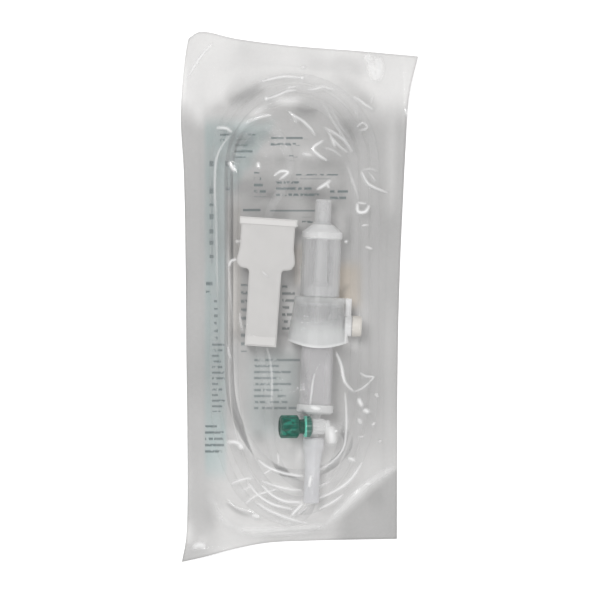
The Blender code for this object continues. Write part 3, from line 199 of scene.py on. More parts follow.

# Folds of the film: the photograph's pixels that each runs through, then its width and height in
# millimetres, and how white a painted glint it carries, or with a minus how dark a painted shade.
FOLDS_GLINTS_AND_SHADE = [
    # The header and its corners.
    ([(212, 44), (203, 54), (194, 67), (188, 77)], 0.5, 0.1, 0.8),
    ([(367, 54), (368, 58), (370, 62)], 1.7, 0.1, 0.7),
    ([(370, 62), (372, 70), (376, 80)], 1.8, 0.1, 0.75),
    ([(377, 58), (379, 66), (377, 80)], 1.9, 0.1, 0.75),
    ([(405, 109), (408, 116)], 0.8, 0.3, 0.9),
    ([(353, 97), (360, 101), (364, 104), (373, 110)], 0.7, 0.6, 0.65),
    ([(373, 95), (371, 104)], 0.5, 0.3, 0.3),
    ([(355, 106), (358, 122)], 0.6, 0.3, 0.2),
    ([(301, 68), (305, 67)], 0.6, 0.3, 0.6),
    # Where it lies on the tube's upper ends.
    ([(262, 82), (273, 79), (286, 77), (302, 78)], 0.5, 0.2, 0.75),
    ([(301, 78), (303, 79)], 0.7, 0.2, 0.9),
    ([(266, 100), (278, 96), (287, 92), (297, 91)], 0.5, 0.2, 0.65),
    ([(265, 100), (268, 99)], 0.8, 0.2, 0.9),
    ([(286, 89), (297, 87)], 0.5, 0.2, 0.4),
    ([(308, 90), (318, 89), (326, 85)], 0.5, 0.2, 0.5),
    ([(314, 86), (324, 88), (335, 90)], 0.5, 0.2, 0.4),
    ([(246, 124), (258, 119), (271, 116)], 0.5, 0.1, 0.5),
    ([(217, 128), (227, 129), (232, 133)], 0.7, 0.2, 0.75),
    ([(231, 135), (223, 145), (217, 158), (215, 183), (216, 215)], 0.5, 0.2, 0.5),
    ([(229, 162), (235, 172)], 0.9, 0.4, 0.9),
    ([(258, 163), (259, 168)], 0.8, 0.2, 0.85),
    ([(275, 176), (281, 172), (288, 173), (280, 180)], 0.6, 0.4, 0.9),
    ([(317, 190), (325, 185), (330, 181)], 0.7, 0.4, 0.85),
    ([(326, 183), (329, 189)], 0.6, 0.3, 0.7),
    # The fan that runs down to the right from the coil's upper end.
    ([(289, 112), (295, 117), (303, 122), (312, 131), (315, 136)], 0.6, 0.6, 0.7),
    ([(293, 117), (297, 124)], 0.5, 0.3, 0.4),
    ([(296, 109), (306, 112), (318, 111)], 1.1, 0.0, -0.28),
    ([(322, 102), (333, 122), (341, 134), (352, 151)], 0.6, 0.5, 0.35),
    ([(331, 109), (339, 125), (349, 138)], 0.5, 0.4, 0.3),
    ([(324, 128), (335, 134), (346, 143), (352, 153)], 0.6, 0.6, 0.55),
    ([(327, 131), (333, 140), (342, 149), (348, 153)], 0.5, 0.5, 0.5),
    ([(331, 138), (335, 147)], 0.5, 0.4, 0.7),
    ([(323, 141), (313, 149), (319, 156), (327, 161)], 0.6, 0.7, 0.85),
    ([(324, 148), (333, 151), (341, 157)], 0.5, 0.4, 0.35),
    ([(302, 154), (312, 156)], 0.7, 0.3, 0.45),
    ([(347, 166), (353, 183), (359, 201)], 0.6, 0.5, 0.3),
    ([(356, 128), (363, 123), (367, 128), (359, 131)], 0.5, 0.3, 0.5),
    ([(357, 204), (358, 212), (365, 212), (369, 206)], 0.7, 0.6, 1.0),
    ([(357, 203), (366, 204)], 0.5, 0.3, 0.6),
    ([(361, 172), (367, 183), (375, 188), (388, 193)], 0.6, 0.7, 0.75),
    ([(362, 171), (370, 169), (378, 172)], 0.5, 0.3, 0.3),
    ([(368, 172), (376, 182)], 0.5, 0.3, 0.4),
    # Small glints beside the clamp and the cap.
    ([(361, 226), (368, 225)], 0.5, 0.3, 0.5),
    ([(365, 247), (372, 249)], 0.6, 0.3, 0.6),
    ([(345.5, 241), (346, 243)], 0.7, 0.3, 0.9),
    ([(229, 267), (232, 261), (237, 260)], 0.6, 0.3, 0.8),
    ([(262, 271), (268, 277)], 0.5, 0.1, 0.5),
    ([(216, 200), (217, 250), (218, 300)], 0.5, 0.2, 0.3),
    ([(228, 232), (229, 270), (234, 330)], 0.5, 0.2, 0.3),
    ([(240, 312), (241, 322), (243, 331)], 0.6, 0.3, 0.4),
    # The right side below the finger guard.
    ([(336, 352), (341, 365), (345, 382), (353, 391)], 0.6, 0.9, 0.85),
    ([(353, 391), (360, 389), (367, 384), (372, 379)], 0.5, 0.5, 0.5),
    ([(359, 372), (366, 376), (373, 377), (368, 383)], 0.5, 0.5, 0.6),
    ([(358, 398), (362, 406)], 0.9, 0.6, 0.9),
    ([(363, 409), (369, 412)], 0.9, 0.5, 0.95),
    ([(375, 393), (378, 397)], 0.7, 0.3, 0.6),
    ([(358, 418), (361, 423)], 0.9, 0.3, 0.5),
    ([(372, 425), (375, 422)], 0.6, 0.2, 0.6),
    ([(358, 436), (364, 436)], 0.5, 0.2, 0.4),
    ([(379, 440), (381, 442)], 0.7, 0.2, 0.5),
    ([(348, 457), (355, 460)], 0.7, 0.3, 0.85),
    ([(329, 425), (331, 433), (332, 443)], 2.1, 0.3, 1.0),
    ([(334, 431), (337, 429)], 0.7, 0.2, 0.9),
    ([(326, 420), (327, 440)], 0.8, 0.3, 0.6),
    ([(310, 406), (321, 408)], 1.0, 0.2, 1.0),
    ([(310, 405), (313, 380), (315, 372)], 0.5, 0.0, 0.6),
    ([(304, 357), (304, 402)], 2.0, 0.0, -0.2),
    ([(345, 392), (346, 425), (343, 447), (333, 460), (319, 469)], 0.5, 0.3, 0.7),
    # Painted shade in leaf shapes at the green ring, and painted glint lines left of the chamber.
    ([(301, 409), (306, 413)], 0.8, 0.0, -0.85),
    ([(300, 414), (305, 418)], 0.8, 0.0, -0.7),
    ([(267, 347), (270, 358), (272, 375), (272, 404)], 0.5, 0.1, 0.4),
    ([(228, 345), (229, 352), (232, 359)], 0.5, 0.2, 0.45),
    # A painted glint on the outlet's neck, and painted highlight lines over the tube's lower ends.
    ([(311, 474), (309, 486)], 0.8, 0.1, 1.0),
    ([(228, 441), (237, 442), (244, 447)], 0.8, 0.5, 0.9),
    ([(239, 443), (243, 448)], 1.0, 0.2, 1.0),
    ([(232, 483), (242, 479), (252, 477)], 0.5, 0.5, 0.7),
    ([(245, 503), (256, 495), (267, 491), (278, 488)], 0.5, 0.5, 0.65),
    ([(264, 473), (272, 468)], 0.5, 0.3, 0.6),
    ([(278, 452), (279, 463)], 0.5, 0.3, 0.5),
    ([(243, 490), (252, 485)], 0.5, 0.3, 0.35),
    ([(258, 459), (268, 466), (284, 472), (303, 475)], 0.6, 0.2, 0.95),
    ([(262, 480), (276, 485), (290, 488), (302, 489)], 0.5, 0.2, 0.7),
    ([(262, 484), (272, 494), (285, 500), (302, 501)], 0.6, 0.2, 0.9),
    ([(248, 482), (258, 494), (272, 503), (292, 508)], 0.6, 0.2, 0.9),
    ([(254, 500), (268, 509), (288, 517), (306, 522)], 0.6, 0.2, 0.75),
    ([(319, 497), (335, 490), (350, 479), (362, 462)], 0.6, 0.2, 0.8),
    ([(319, 508), (333, 501), (343, 494)], 0.6, 0.2, 0.8),
    ([(318, 486), (330, 480)], 0.5, 0.2, 0.35),
    ([(291, 515), (298, 507), (303, 502)], 0.6, 0.3, 0.85),
    ([(297, 514), (308, 505)], 0.5, 0.3, 0.4),
    ([(288, 476), (301, 479)], 0.9, 0.0, -0.2),
    ([(332, 516), (340, 508)], 0.5, 0.3, 0.55),
    # The foot of the bulge.
    ([(227, 500), (237, 507), (252, 512), (260, 517)], 0.7, 1.2, 0.4),
    ([(226, 503), (237, 511), (250, 516)], 0.8, 0.0, -0.3),
    ([(252, 514), (259, 517)], 0.8, 0.5, 0.95),
    ([(326, 525), (345, 505), (365, 486), (382, 474), (398, 466)], 2.2, 0.5, 0.42),
    ([(365, 484), (371, 483)], 0.7, 0.4, 0.9),
    ([(236, 529), (260, 531), (300, 529), (326, 525)], 2.3, 1.2, 0.5),
    ([(208, 494), (217, 507), (226, 522), (236, 529)], 2.4, 0.8, 0.3),
    ([(193, 548), (198, 545), (206, 547)], 1.4, 0.1, 0.85),
]

# Painted shade and painted light in the paper's tone, laid as soft strokes: the pixels along each, its
# width in millimetres and its change.
PAINTED_SHADE_AND_LIGHT = [
    ([(212, 110), (224, 106)], 2.4, -0.10), ([(228, 103), (244, 96), (262, 87)], 3.2, -0.34),
    ([(334, 60), (350, 64), (366, 76)], 3.5, -0.13), ([(296, 56), (326, 60)], 6.0, -0.07),
    ([(236, 46), (252, 52)], 4.0, -0.05), ([(290, 110), (318, 114)], 3.0, -0.10),
    ([(346, 118), (352, 142)], 4.5, -0.12), ([(228, 140), (256, 142)], 4.5, -0.24),
    ([(250, 176), (262, 202)], 8.0, -0.13), ([(300, 162), (346, 166)], 5.0, -0.14),
    ([(306, 186), (340, 206)], 7.0, -0.15), ([(240, 176), (238, 196)], 4.0, -0.08),
    ([(274, 184), (318, 196)], 3.5, -0.10), ([(232, 200), (233, 345)], 2.6, 0.09),
    ([(184.5, 60), (183.5, 104)], 1.0, 0.12), ([(345, 296), (362, 330)], 5.0, 0.14),
    ([(188, 70), (187, 106)], 4.0, 0.06), ([(372, 66), (372, 82)], 4.5, 0.10),
    ([(232, 470), (262, 490)], 6.0, 0.06), ([(236, 428), (236, 444)], 4.0, 0.10),
    ([(256, 430), (262, 443)], 2.2, -0.12), ([(282, 440), (330, 440)], 5.0, 0.05),
    ([(366, 500), (384, 494)], 6.0, -0.06), ([(262, 536), (328, 534)], 1.8, -0.12),
    ([(230, 506), (222, 526)], 3.5, 0.06), ([(206, 508), (214, 530)], 2.5, -0.08),
    ([(240, 528), (310, 528)], 3.0, 0.10), ([(388, 300), (390, 440)], 3.0, 0.05),
    ([(301.5, 222), (301, 288)], 2.2, 0.24), ([(364, 300), (366, 330)], 4.0, 0.08),
    ([(233, 345), (235, 390), (240, 420), (250, 448), (262, 462)], 1.7, 0.15),
    ([(325, 444), (325, 500)], 2.2, 0.13), ([(304, 506), (320, 508)], 2.6, 0.3),
    ([(286, 444), (300, 446)], 2.0, 0.16),
    ([(299, 438), (301, 458)], 1.6, 0.3), ([(290, 286), (289, 334)], 4.0, 0.52),
    ([(276, 462), (288, 468)], 2.0, 0.10), ([(299, 238), (300, 286)], 1.9, 0.5),
    ([(234, 266), (234, 332)], 2.4, 0.26), ([(343, 342), (358, 346)], 3.0, 0.32),
    ([(284, 348), (297, 352)], 2.5, 0.12), ([(298, 450), (300, 478)], 1.8, 0.15),
    ([(349, 215), (349, 245)], 2.2, -0.13), ([(304, 356), (304, 402)], 1.8, -0.24),
    ([(308, 299), (338, 300)], 2.5, 0.26), ([(312, 236), (312, 292)], 4.0, 0.10),
    ([(332, 306), (334, 320)], 3.5, 0.12), ([(342, 293), (349, 284)], 1.2, -0.16),
    ([(344, 262), (348, 300)], 3.0, 0.09),
    ([(228, 250), (228, 345), (231, 390), (236, 415), (243, 440), (251, 455)], 1.9, 0.2),
    ([(300, 150), (322, 158)], 3.0, 0.12), ([(266, 196), (276, 196)], 2.0, -0.12),
    ([(276, 160), (290, 160)], 2.5, -0.10), ([(186, 430), (186, 520)], 2.5, 0.09),
    ([(391, 118), (391, 215)], 2.2, 0.12), ([(199, 104), (200, 128)], 2.0, 0.12),
    ([(360, 94), (376, 110)], 3.0, -0.10), ([(232, 124), (250, 122)], 2.4, 0.14),
    ([(250, 114), (263, 111)], 1.8, 0.14), ([(222, 160), (272, 160)], 2.6, -0.08),
    ([(198, 538), (206, 544)], 2.5, 0.12), ([(322, 484), (322, 498)], 1.6, 0.12),
    ([(334, 72), (352, 88), (370, 104)], 3.6, -0.14), ([(308, 64), (340, 66)], 3.0, -0.09),
    ([(222, 98), (246, 78)], 3.0, -0.09), ([(276, 101), (300, 101)], 2.2, 0.3),
    ([(236, 114), (266, 110)], 2.0, 0.07), ([(343, 168), (343, 212)], 3.0, -0.10),
    ([(256, 137), (278, 136)], 3.0, -0.10), ([(187, 96), (196, 122)], 3.0, 0.07),
    ([(186, 520), (188, 545)], 3.0, 0.24), ([(211, 130), (211, 260)], 2.6, -0.05),
]

# Fields of print on the web, in pixels: left, right, top and foot, then the pitch of their rows in
# pixels and how fine the bars along a row are.
PRINT = [
    (212, 225, 340, 412, 5.6, 700), (205, 226, 425, 456, 6.3, 600), (220, 231, 130, 144, 5.5, 400),
    (235, 254, 139, 158, 6.2, 500), (248, 262, 133, 138, 5.0, 500), (270, 308, 137, 148, 6.5, 500),
    (289, 300, 155, 161, 6.0, 300), (254, 266, 172, 197, 6.4, 500), (276, 320, 181, 199, 6.2, 700),
    (296, 338, 174, 179, 5.0, 800), (330, 350, 190, 202, 6.4, 500), (243, 265, 207, 213, 6.0, 400),
    (302, 315, 217, 223, 6.0, 400), (282, 298, 284, 330, 7.0, 800), (254, 300, 358, 412, 6.0, 700),
    (241, 249, 284, 352, 8.5, 400), (206, 213, 281, 299, 9.0, 300), (214, 218, 300, 340, 7.5, 300),
]

# Two upright rows of marks beside the tube's left turns, in pixels: left, top and foot.
UPRIGHTS = [(209.5, 156, 262), (225.5, 160, 190)]

# Where the paper looks warm, in pixels: left, right, top and foot, then how soft its sides and its
# ends are in millimetres, and how warm it is.
WARM_PATCHES = [
    (334, 360, 264, 308, 3.0, 4.0, 0.85), (293, 305, 244, 284, 1.5, 4.0, 0.35),
    (228, 241, 205, 340, 1.5, 5.0, 0.25),
]


class Value:
    """A node's output that takes part in expressions; each operator adds a Math node."""

    def __init__(self, nodes, socket):
        self.nodes = nodes
        self.socket = socket

    def math(self, operation, *others, clamp=False):
        settings = {"operation": operation, "use_clamp": clamp}
        return self.nodes.node("ShaderNodeMath", settings, [self, *others])

    def __add__(self, other):
        return self.math("ADD", other)

    def __sub__(self, other):
        return self.math("SUBTRACT", other)

    def __rsub__(self, other):
        return self.nodes.node("ShaderNodeMath", {"operation": "SUBTRACT"}, [other, self])

    def __mul__(self, other):
        return self.math("MULTIPLY", other)

    def __truediv__(self, other):
        return self.math("DIVIDE", other)

    __radd__, __rmul__ = __add__, __mul__

    def clamp(self):
        return self.math("ADD", 0.0, clamp=True)

    def rises(self, low, high):
        """0 at low and 1 at high, smooth between them."""
        settings = {"interpolation_type": "SMOOTHSTEP"}
        inputs = {"Value": self, "From Min": low, "From Max": high}
        return self.nodes.node("ShaderNodeMapRange", settings, inputs)

    def within(self, low, high, edge):
        """1 between low and high, and 0 outside them."""
        return self.rises(low - edge, low + edge) * (1 - self.rises(high - edge, high + edge))


class Nodes:
    """The nodes of a material or of the room, and the one way to add to them."""

    def __init__(self, tree):
        self.tree = tree

    def node(self, kind, settings=None, inputs=None, output=0):
        """Adds a node with its settings first, then its inputs' values or links, and gives an output."""
        made = self.tree.nodes.new(kind)
        for key, value in (settings or {}).items():
            setattr(made, key, value)
        pairs = inputs.items() if isinstance(inputs, dict) else enumerate(inputs or [])
        for key, value in pairs:
            self.feed(made.inputs[key], value)
        return Value(self, made.outputs[output])

    def feed(self, socket, value):
        if isinstance(value, Value):
            self.tree.links.new(value.socket, socket)
        else:
            socket.default_value = value

    def blend(self, share, first, second):
        """Mixes two colours: share is 0 for the first and 1 for the second."""
        colours = [(*part, 1.0) if isinstance(part, tuple) else part for part in (first, second)]
        inputs = {0: share, 6: colours[0], 7: colours[1]}
        return self.node("ShaderNodeMix", {"data_type": "RGBA"}, inputs, output=2)

    def shows_background(self):
        """1 for the rays that see the white surroundings: the camera's, and those of gloss and glass."""
        path = self.node("ShaderNodeLightPath").socket.node.outputs
        rays = [Value(self, path[f"Is {kind} Ray"]) for kind in ("Camera", "Glossy", "Transmission")]
        return largest(rays)


class Finish(Nodes):
    """A material with a Principled shader, and what its patterns are made of."""

    def __init__(self, name, **sockets):
        self.material = bpy.data.materials.new(name)
        self.material.use_nodes = True
        super().__init__(self.material.node_tree)
        self.shader = self.tree.nodes["Principled BSDF"]
        self.output = self.tree.nodes["Material Output"]
        for socket, value in sockets.items():
            self.set(socket.replace("_", " "), value)

    def set(self, socket, value):
        self.feed(self.shader.inputs[socket], value)

    def axes(self):
        """The place on the object, and its x, y and z by themselves, in metres."""
        place = self.node("ShaderNodeTexCoord", output="Object")
        split = self.node("ShaderNodeSeparateXYZ", None, [place])
        return place, *(Value(self, split.socket.node.outputs[i]) for i in range(3))

    def noise(self, place, scale, detail=2.0, roughness=0.5, distortion=0.0):
        inputs = {
            "Vector": place, "Scale": scale, "Detail": detail, "Roughness": roughness,
            "Distortion": distortion,
        }
        return self.node("ShaderNodeTexNoise", {"noise_dimensions": "3D"}, inputs)

    def joined(self, *parts):
        return self.node("ShaderNodeCombineXYZ", None, list(parts))

    def stretched(self, place, scale):
        return self.node("ShaderNodeVectorMath", {"operation": "MULTIPLY"}, [place, scale])

    def kept(self, name):
        """The share that the sheet's points keep under this name."""
        return self.node("ShaderNodeAttribute", {"attribute_name": name}, output="Fac")

    def turned_away(self, blend=0.35):
        """1 at a wall's outline and 0 where it faces the eye, as a clear wall thickens to its edge."""
        return self.node("ShaderNodeLayerWeight", None, {"Blend": blend}, output="Facing")

    def bump(self, height, strength, distance):
        inputs = {"Height": height, "Strength": strength, "Distance": distance}
        self.set("Normal", self.node("ShaderNodeBump", None, inputs))

    def see_through(self, cover):
        """Mixes the shader with a clear one: cover is 1 where the surface hides what is behind it."""
        clear = self.node("ShaderNodeBsdfTransparent")
        shader = Value(self, self.shader.outputs[0])
        self.feed(self.output.inputs[0], self.node("ShaderNodeMixShader", None, [cover, clear, shader]))


def largest(values):
    """The largest of several values."""
    found, *others = values
    for value in others:
        found = found.math("MAXIMUM", value)
    return found


def px(value):
    """The place across the pouch that the photograph shows at this pixel."""
    return (value - PHOTO_MIDDLE[0]) * PHOTO_SCALE


def py(value):
    """The place along the pouch that the photograph shows at this pixel."""
    return (PHOTO_MIDDLE[1] - value) * PHOTO_SCALE


def smooth_step(value, low, high):
    """0 at low and 1 at high, smooth between them."""
    share = np.clip((value - low) / (high - low), 0, 1)
    return share * share * (3 - 2 * share)


def smooth_curve(points, step):
    """A centripetal Catmull-Rom curve through the points, with a point about every step."""
    p = np.array(points, float)
    p = np.vstack([2 * p[0] - p[1], p, 2 * p[-1] - p[-2]])
    found = []
    for a, b, c, d in zip(p[:-3], p[1:-2], p[2:-1], p[3:]):
        t1 = np.sqrt(np.linalg.norm(b - a))
        t2 = t1 + np.sqrt(np.linalg.norm(c - b))
        t3 = t2 + np.sqrt(np.linalg.norm(d - c))
        count = max(2, math.ceil(np.linalg.norm(c - b) / step))
        for t in np.linspace(t1, t2, count, endpoint=False):
            ab = a + (b - a) * t / t1
            bc = b + (c - b) * (t - t1) / (t2 - t1)
            cd = c + (d - c) * (t - t2) / (t3 - t2)
            abc = ab + (bc - ab) * t / t2
            bcd = bc + (cd - bc) * (t - t1) / (t3 - t1)
            found.append(abc + (bcd - abc) * (t - t1) / (t2 - t1))
    return np.array(found + [p[-2]])


def run_along(line):
    """How far along a line each of its points is."""
    return np.concatenate([[0], np.cumsum(np.linalg.norm(np.diff(line, axis=0), axis=1))])


def half_turn(x_from, x_to, shoulder, apex, heights, count=10):
    """Points of an oval's end in millimetres, from one side over its apex to the other."""
    middle, half = (x_from + x_to) / 2, (x_to - x_from) / 2
    found = []
    for i in range(count + 1):
        turn = math.pi * i / count
        z = np.interp(i / count, (0, 0.5, 1), heights)
        found.append((middle - half * math.cos(turn), shoulder + (apex - shoulder) * math.sin(turn), z))
    return found


def side_run(x, y_from, y_to, z):
    """Points of a straight side, the outer ones near the turns that it joins."""
    inset = 9 if y_to > y_from else -9
    return [(x, y, z) for y in (y_from + inset, (y_from + y_to) / 2, y_to - inset)]


def tube_line():
    """The tube's centreline, from inside the chamber's sleeve to inside the connector."""
    route = list(TUBE_LEAVES)
    for x_from, x_to, shoulder, apex, side, side_end in LONG_TURNS:
        route += half_turn(x_from, x_to, shoulder, apex, (LAYER_1, LAYER_1, LAYER_1))
        route += side_run(side, shoulder, side_end, LAYER_1)
    route += half_turn(*TURN_TO_CLAMP, count=8) + TUBE_THROUGH_CLAMP + TUBE_SMALL_LOOP
    route += half_turn(*LAST_TURN) + side_run(*LAST_SIDE) + TUBE_ARRIVES
    line = smooth_curve(np.array(route) * MM, 1 * MM)
    for _ in range(4):
        line[1:-1] = (line[:-2] + 2 * line[1:-1] + line[2:]) / 4
    return line[::2] if len(line) % 2 else np.vstack([line[::2], line[-1:]])


def shown(name, data, material):
    """Puts a finished mesh or curve in the scene as a piece that rides on the pack."""
    piece = bpy.data.objects.new(name, data)
    bpy.context.scene.collection.objects.link(piece)
    data.materials.append(material)
    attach(piece, "pack")
    return piece


def lay_tube(material):
    """The coiled tube, one cord from the chamber's sleeve to the connector."""
    line = tube_line()
    curve = bpy.data.curves.new("tube_line", "CURVE")
    curve.dimensions = "3D"
    curve.bevel_depth = TUBE_DIAMETER / 2
    curve.bevel_resolution = 4
    curve.use_fill_caps = True
    spline = curve.splines.new("POLY")
    spline.points.add(len(line) - 1)
    for point, place in zip(spline.points, line):
        point.co = (*place, 1)
    tube = shown("tube", curve, material)
    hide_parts("tubing")


def along_edge(edge, shares):
    """Places on an edge of the pouch, at these shares of its length."""
    line = smooth_curve(edge, 1.5 * MM)
    run = run_along(line)
    return np.stack([np.interp(shares * run[-1], run, line[:, k]) for k in range(2)], axis=-1)


def pouch_grid(across, up):
    """Places in the pouch's plane, blended between its four edges, for shares across and up it."""
    edges = (LEFT_EDGE, RIGHT_EDGE, FOOT_EDGE, TOP_EDGE)
    left, right, foot, top = (np.array(edge) * MM for edge in edges)
    u, v = across[None, :, None], up[:, None, None]
    sides = along_edge(left, up)[:, None] * (1 - u) + along_edge(right, up)[:, None] * u
    ends = along_edge(foot, across)[None] * (1 - v) + along_edge(top, across)[None] * v
    corners = left[0] * (1 - u) * (1 - v) + right[0] * u * (1 - v)
    corners = corners + left[-1] * (1 - u) * v + right[-1] * u * v
    return sides + ends - corners


def sealed_shares(count, low, high, whole):
    """Shares of a whole length with fine cells in the seals at its two ends, low and high wide."""
    low, high = low / whole, 1 - high / whole
    strip = np.linspace(0, low, SEAL_CELLS + 1)[:-1]
    far_strip = 1 - (1 - high) * (strip[::-1] / low)
    return np.concatenate([strip, np.linspace(low, high, count), far_strip])


def waves(places, seed, length, stretch=(1, 1), count=24):
    """A smooth field of about -1 to 1, made of sines with a wavelength of about length."""
    rng = np.random.default_rng(seed)
    x, y = places[..., 0], places[..., 1]
    found = np.zeros(x.shape)
    for _ in range(count):
        turn, size = rng.uniform(0, math.pi), rng.uniform(0.7, 1.6)
        along = x * math.cos(turn) / stretch[0] + y * math.sin(turn) / stretch[1]
        found += np.sin(2 * math.pi * along / (length * size) + rng.uniform(0, 2 * math.pi))
    return found / math.sqrt(count)


def curl(places):
    """How far the pouch's free edges and corners stand off the table."""
    x, y = places[..., 0], places[..., 1]
    edge = np.maximum(np.abs(x + 3 * MM) / (50 * MM), np.abs(y) / (114 * MM))
    rise = np.clip((edge - CURL_STARTS) / (1 - CURL_STARTS), 0, 1) ** 2
    return rise * np.maximum(0.5 + 0.5 * waves(places, 3, 46 * MM), 0) * CURL_HEIGHT


def tops_under(places):
    """The top of the contents under each place, or 0."""
    corners, faces = [], []
    for name in CONTENTS:
        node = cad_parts[name]
        start = len(corners)
        corners += [vertex.co.copy() for vertex in node.data.vertices]
        faces += [[start + i for i in polygon.vertices] for polygon in node.data.polygons]
    tree = BVHTree.FromPolygons(corners, faces)
    found = np.zeros(places.shape[:2])
    for i, j in np.ndindex(found.shape):
        hit = tree.ray_cast(Vector((*places[i, j], OVERHEAD)), Vector((0, 0, -1)))[0]
        found[i, j] = hit.z if hit else 0.0
    return found


def line_shape(places, pixels, margin):
    """How far each place is from a line of pixels, and how much of it is left there near its ends."""
    line = smooth_curve([(px(x), py(y)) for x, y in pixels], 1 * MM)
    run = run_along(line)
    low, high = line.min(axis=0) - margin, line.max(axis=0) + margin
    near = np.all((places > low) & (places < high), axis=-1)
    off, along = np.full(places.shape[:2], 1.0), np.zeros(places.shape[:2])
    for a, b, start in zip(line[:-1], line[1:], run):
        size = np.linalg.norm(b - a)
        axis = (b - a) / size
        reach = np.clip((places[near] - a) @ axis, 0, size)
        gap = np.linalg.norm(places[near] - a - reach[:, None] * axis, axis=-1)
        closer = gap < off[near]
        off[near] = np.where(closer, gap, off[near])
        along[near] = np.where(closer, start + reach, along[near])
    share = np.clip(along / run[-1], 0, 1)
    return off, 0.25 + 0.75 * np.sin(math.pi * share) ** 0.5


def folded(places):
    """The height that the folds add to the film, and the painted glints and painted shade they lay on
    it.
    """
    extra, white, painted_shade = (np.zeros(places.shape[:2]) for _ in range(3))
    for pixels, width, height, whiteness in FOLDS_GLINTS_AND_SHADE:
        off, left = line_shape(places, pixels, 5 * width * MM)
        extra += height * MM * left * np.exp(-off / (width * MM))
        # Painted glints where the whiteness is above 0, and painted shade where it is below.
        shade = abs(whiteness) * left * np.exp(-(off / (width * MM)) ** 2)
        if whiteness > 0:
            white = np.maximum(white, shade)
        else:
            painted_shade = np.maximum(painted_shade, shade)
    return extra, white, painted_shade


def paper_tone(places):
    """The web's painted light and shade: light at the header and the foot, greyer along the middle."""
    x, y = places[..., 0], places[..., 1]
    # Painted light outside the arch of the tube's upper ends, at the foot, and less so along
    # its left side.
    arch = np.hypot((x + 2.3 * MM) / (42 * MM), np.maximum(y - 60 * MM, 0) / (43 * MM))
    header = smooth_step(arch, 0.5, 1.1) * smooth_step(y, 74 * MM, 92 * MM)
    low = 1 - smooth_step(y, py(490), py(400))
    low *= 0.35 + 0.65 * smooth_step(x, px(196), px(232))
    # Painted shade, greyer again, past the crease that runs across the foot's right corner.
    below_fold = smooth_step((x - px(325)) * 0.886 + py(527) - y, -0.5 * MM, 5 * MM)
    corner = below_fold * smooth_step(x, px(322), px(350))
    tone = PAPER_TONE + HEADER_TONE * header + LOW_TONE * low + CORNER_TONE * corner
    tone += 0.025 * waves(places, 31, 34 * MM)
    # The soft strokes of painted shade and painted light.
    for pixels, width, change in PAINTED_SHADE_AND_LIGHT:
        off, left = line_shape(places, pixels, 3 * width * MM)
        tone += change * left * np.exp(-(off / (width * MM)) ** 2)
    return tone


def neighbours_mean(field):
    """The mean of the four neighbours of each inner point."""
    return (field[:-2, 1:-1] + field[2:, 1:-1] + field[1:-1, :-2] + field[1:-1, 2:]) / 4


def widened(heights, reach):
    """Each height raised to the highest one near it."""
    wide = heights.copy()
    for shift in range(1, reach + 1):
        for axis in (0, 1):
            for way in (shift, -shift):
                wide = np.maximum(wide, np.roll(heights, way, axis))
    return wide


def resampled(heights, shape):
    """The same surface on a finer grid."""
    rows = np.linspace(0, heights.shape[0] - 1, shape[0])
    columns = np.linspace(0, heights.shape[1] - 1, shape[1])
    half = np.array([np.interp(columns, range(heights.shape[1]), row) for row in heights])
    return np.array([np.interp(rows, range(heights.shape[0]), column) for column in half.T]).T


def film_heights(under):
    """Heights of the taut film over the contents, relaxed from coarse to fine."""
    heights = None
    for step in TAUT_STEPS:
        cover = widened(under, step // 2)[::step, ::step]
        heights = np.maximum(cover, FILM_LIES) if heights is None else resampled(heights, cover.shape)
        rim = max(1, SEAL_CELLS // step) + 1
        for _ in range(TAUT_ROUNDS):
            heights[1:-1, 1:-1] = np.maximum(neighbours_mean(heights), cover[1:-1, 1:-1])
            heights[:rim] = heights[-rim:] = FILM_LIES
            heights[:, :rim] = heights[:, -rim:] = FILM_LIES
    return heights


def make_sheet(name, places, heights, tones, material):
    """A sheet from its grid of places, with an attribute for each tone that its points keep."""
    corners = np.dstack([places, heights]).reshape(-1, 3)
    index = np.arange(heights.size).reshape(heights.shape)
    quads = np.stack([index[:-1, :-1], index[:-1, 1:], index[1:, 1:], index[1:, :-1]], axis=-1)
    mesh = bpy.data.meshes.new(name)
    mesh.from_pydata(corners.tolist(), [], quads.reshape(-1, 4).tolist())
    mesh.update()
    for tone, values in tones.items():
        layer = mesh.attributes.new(tone, "FLOAT", "POINT")
        layer.data.foreach_set("value", values.reshape(-1))
    mesh.shade_smooth()
    return shown(name, mesh, material)


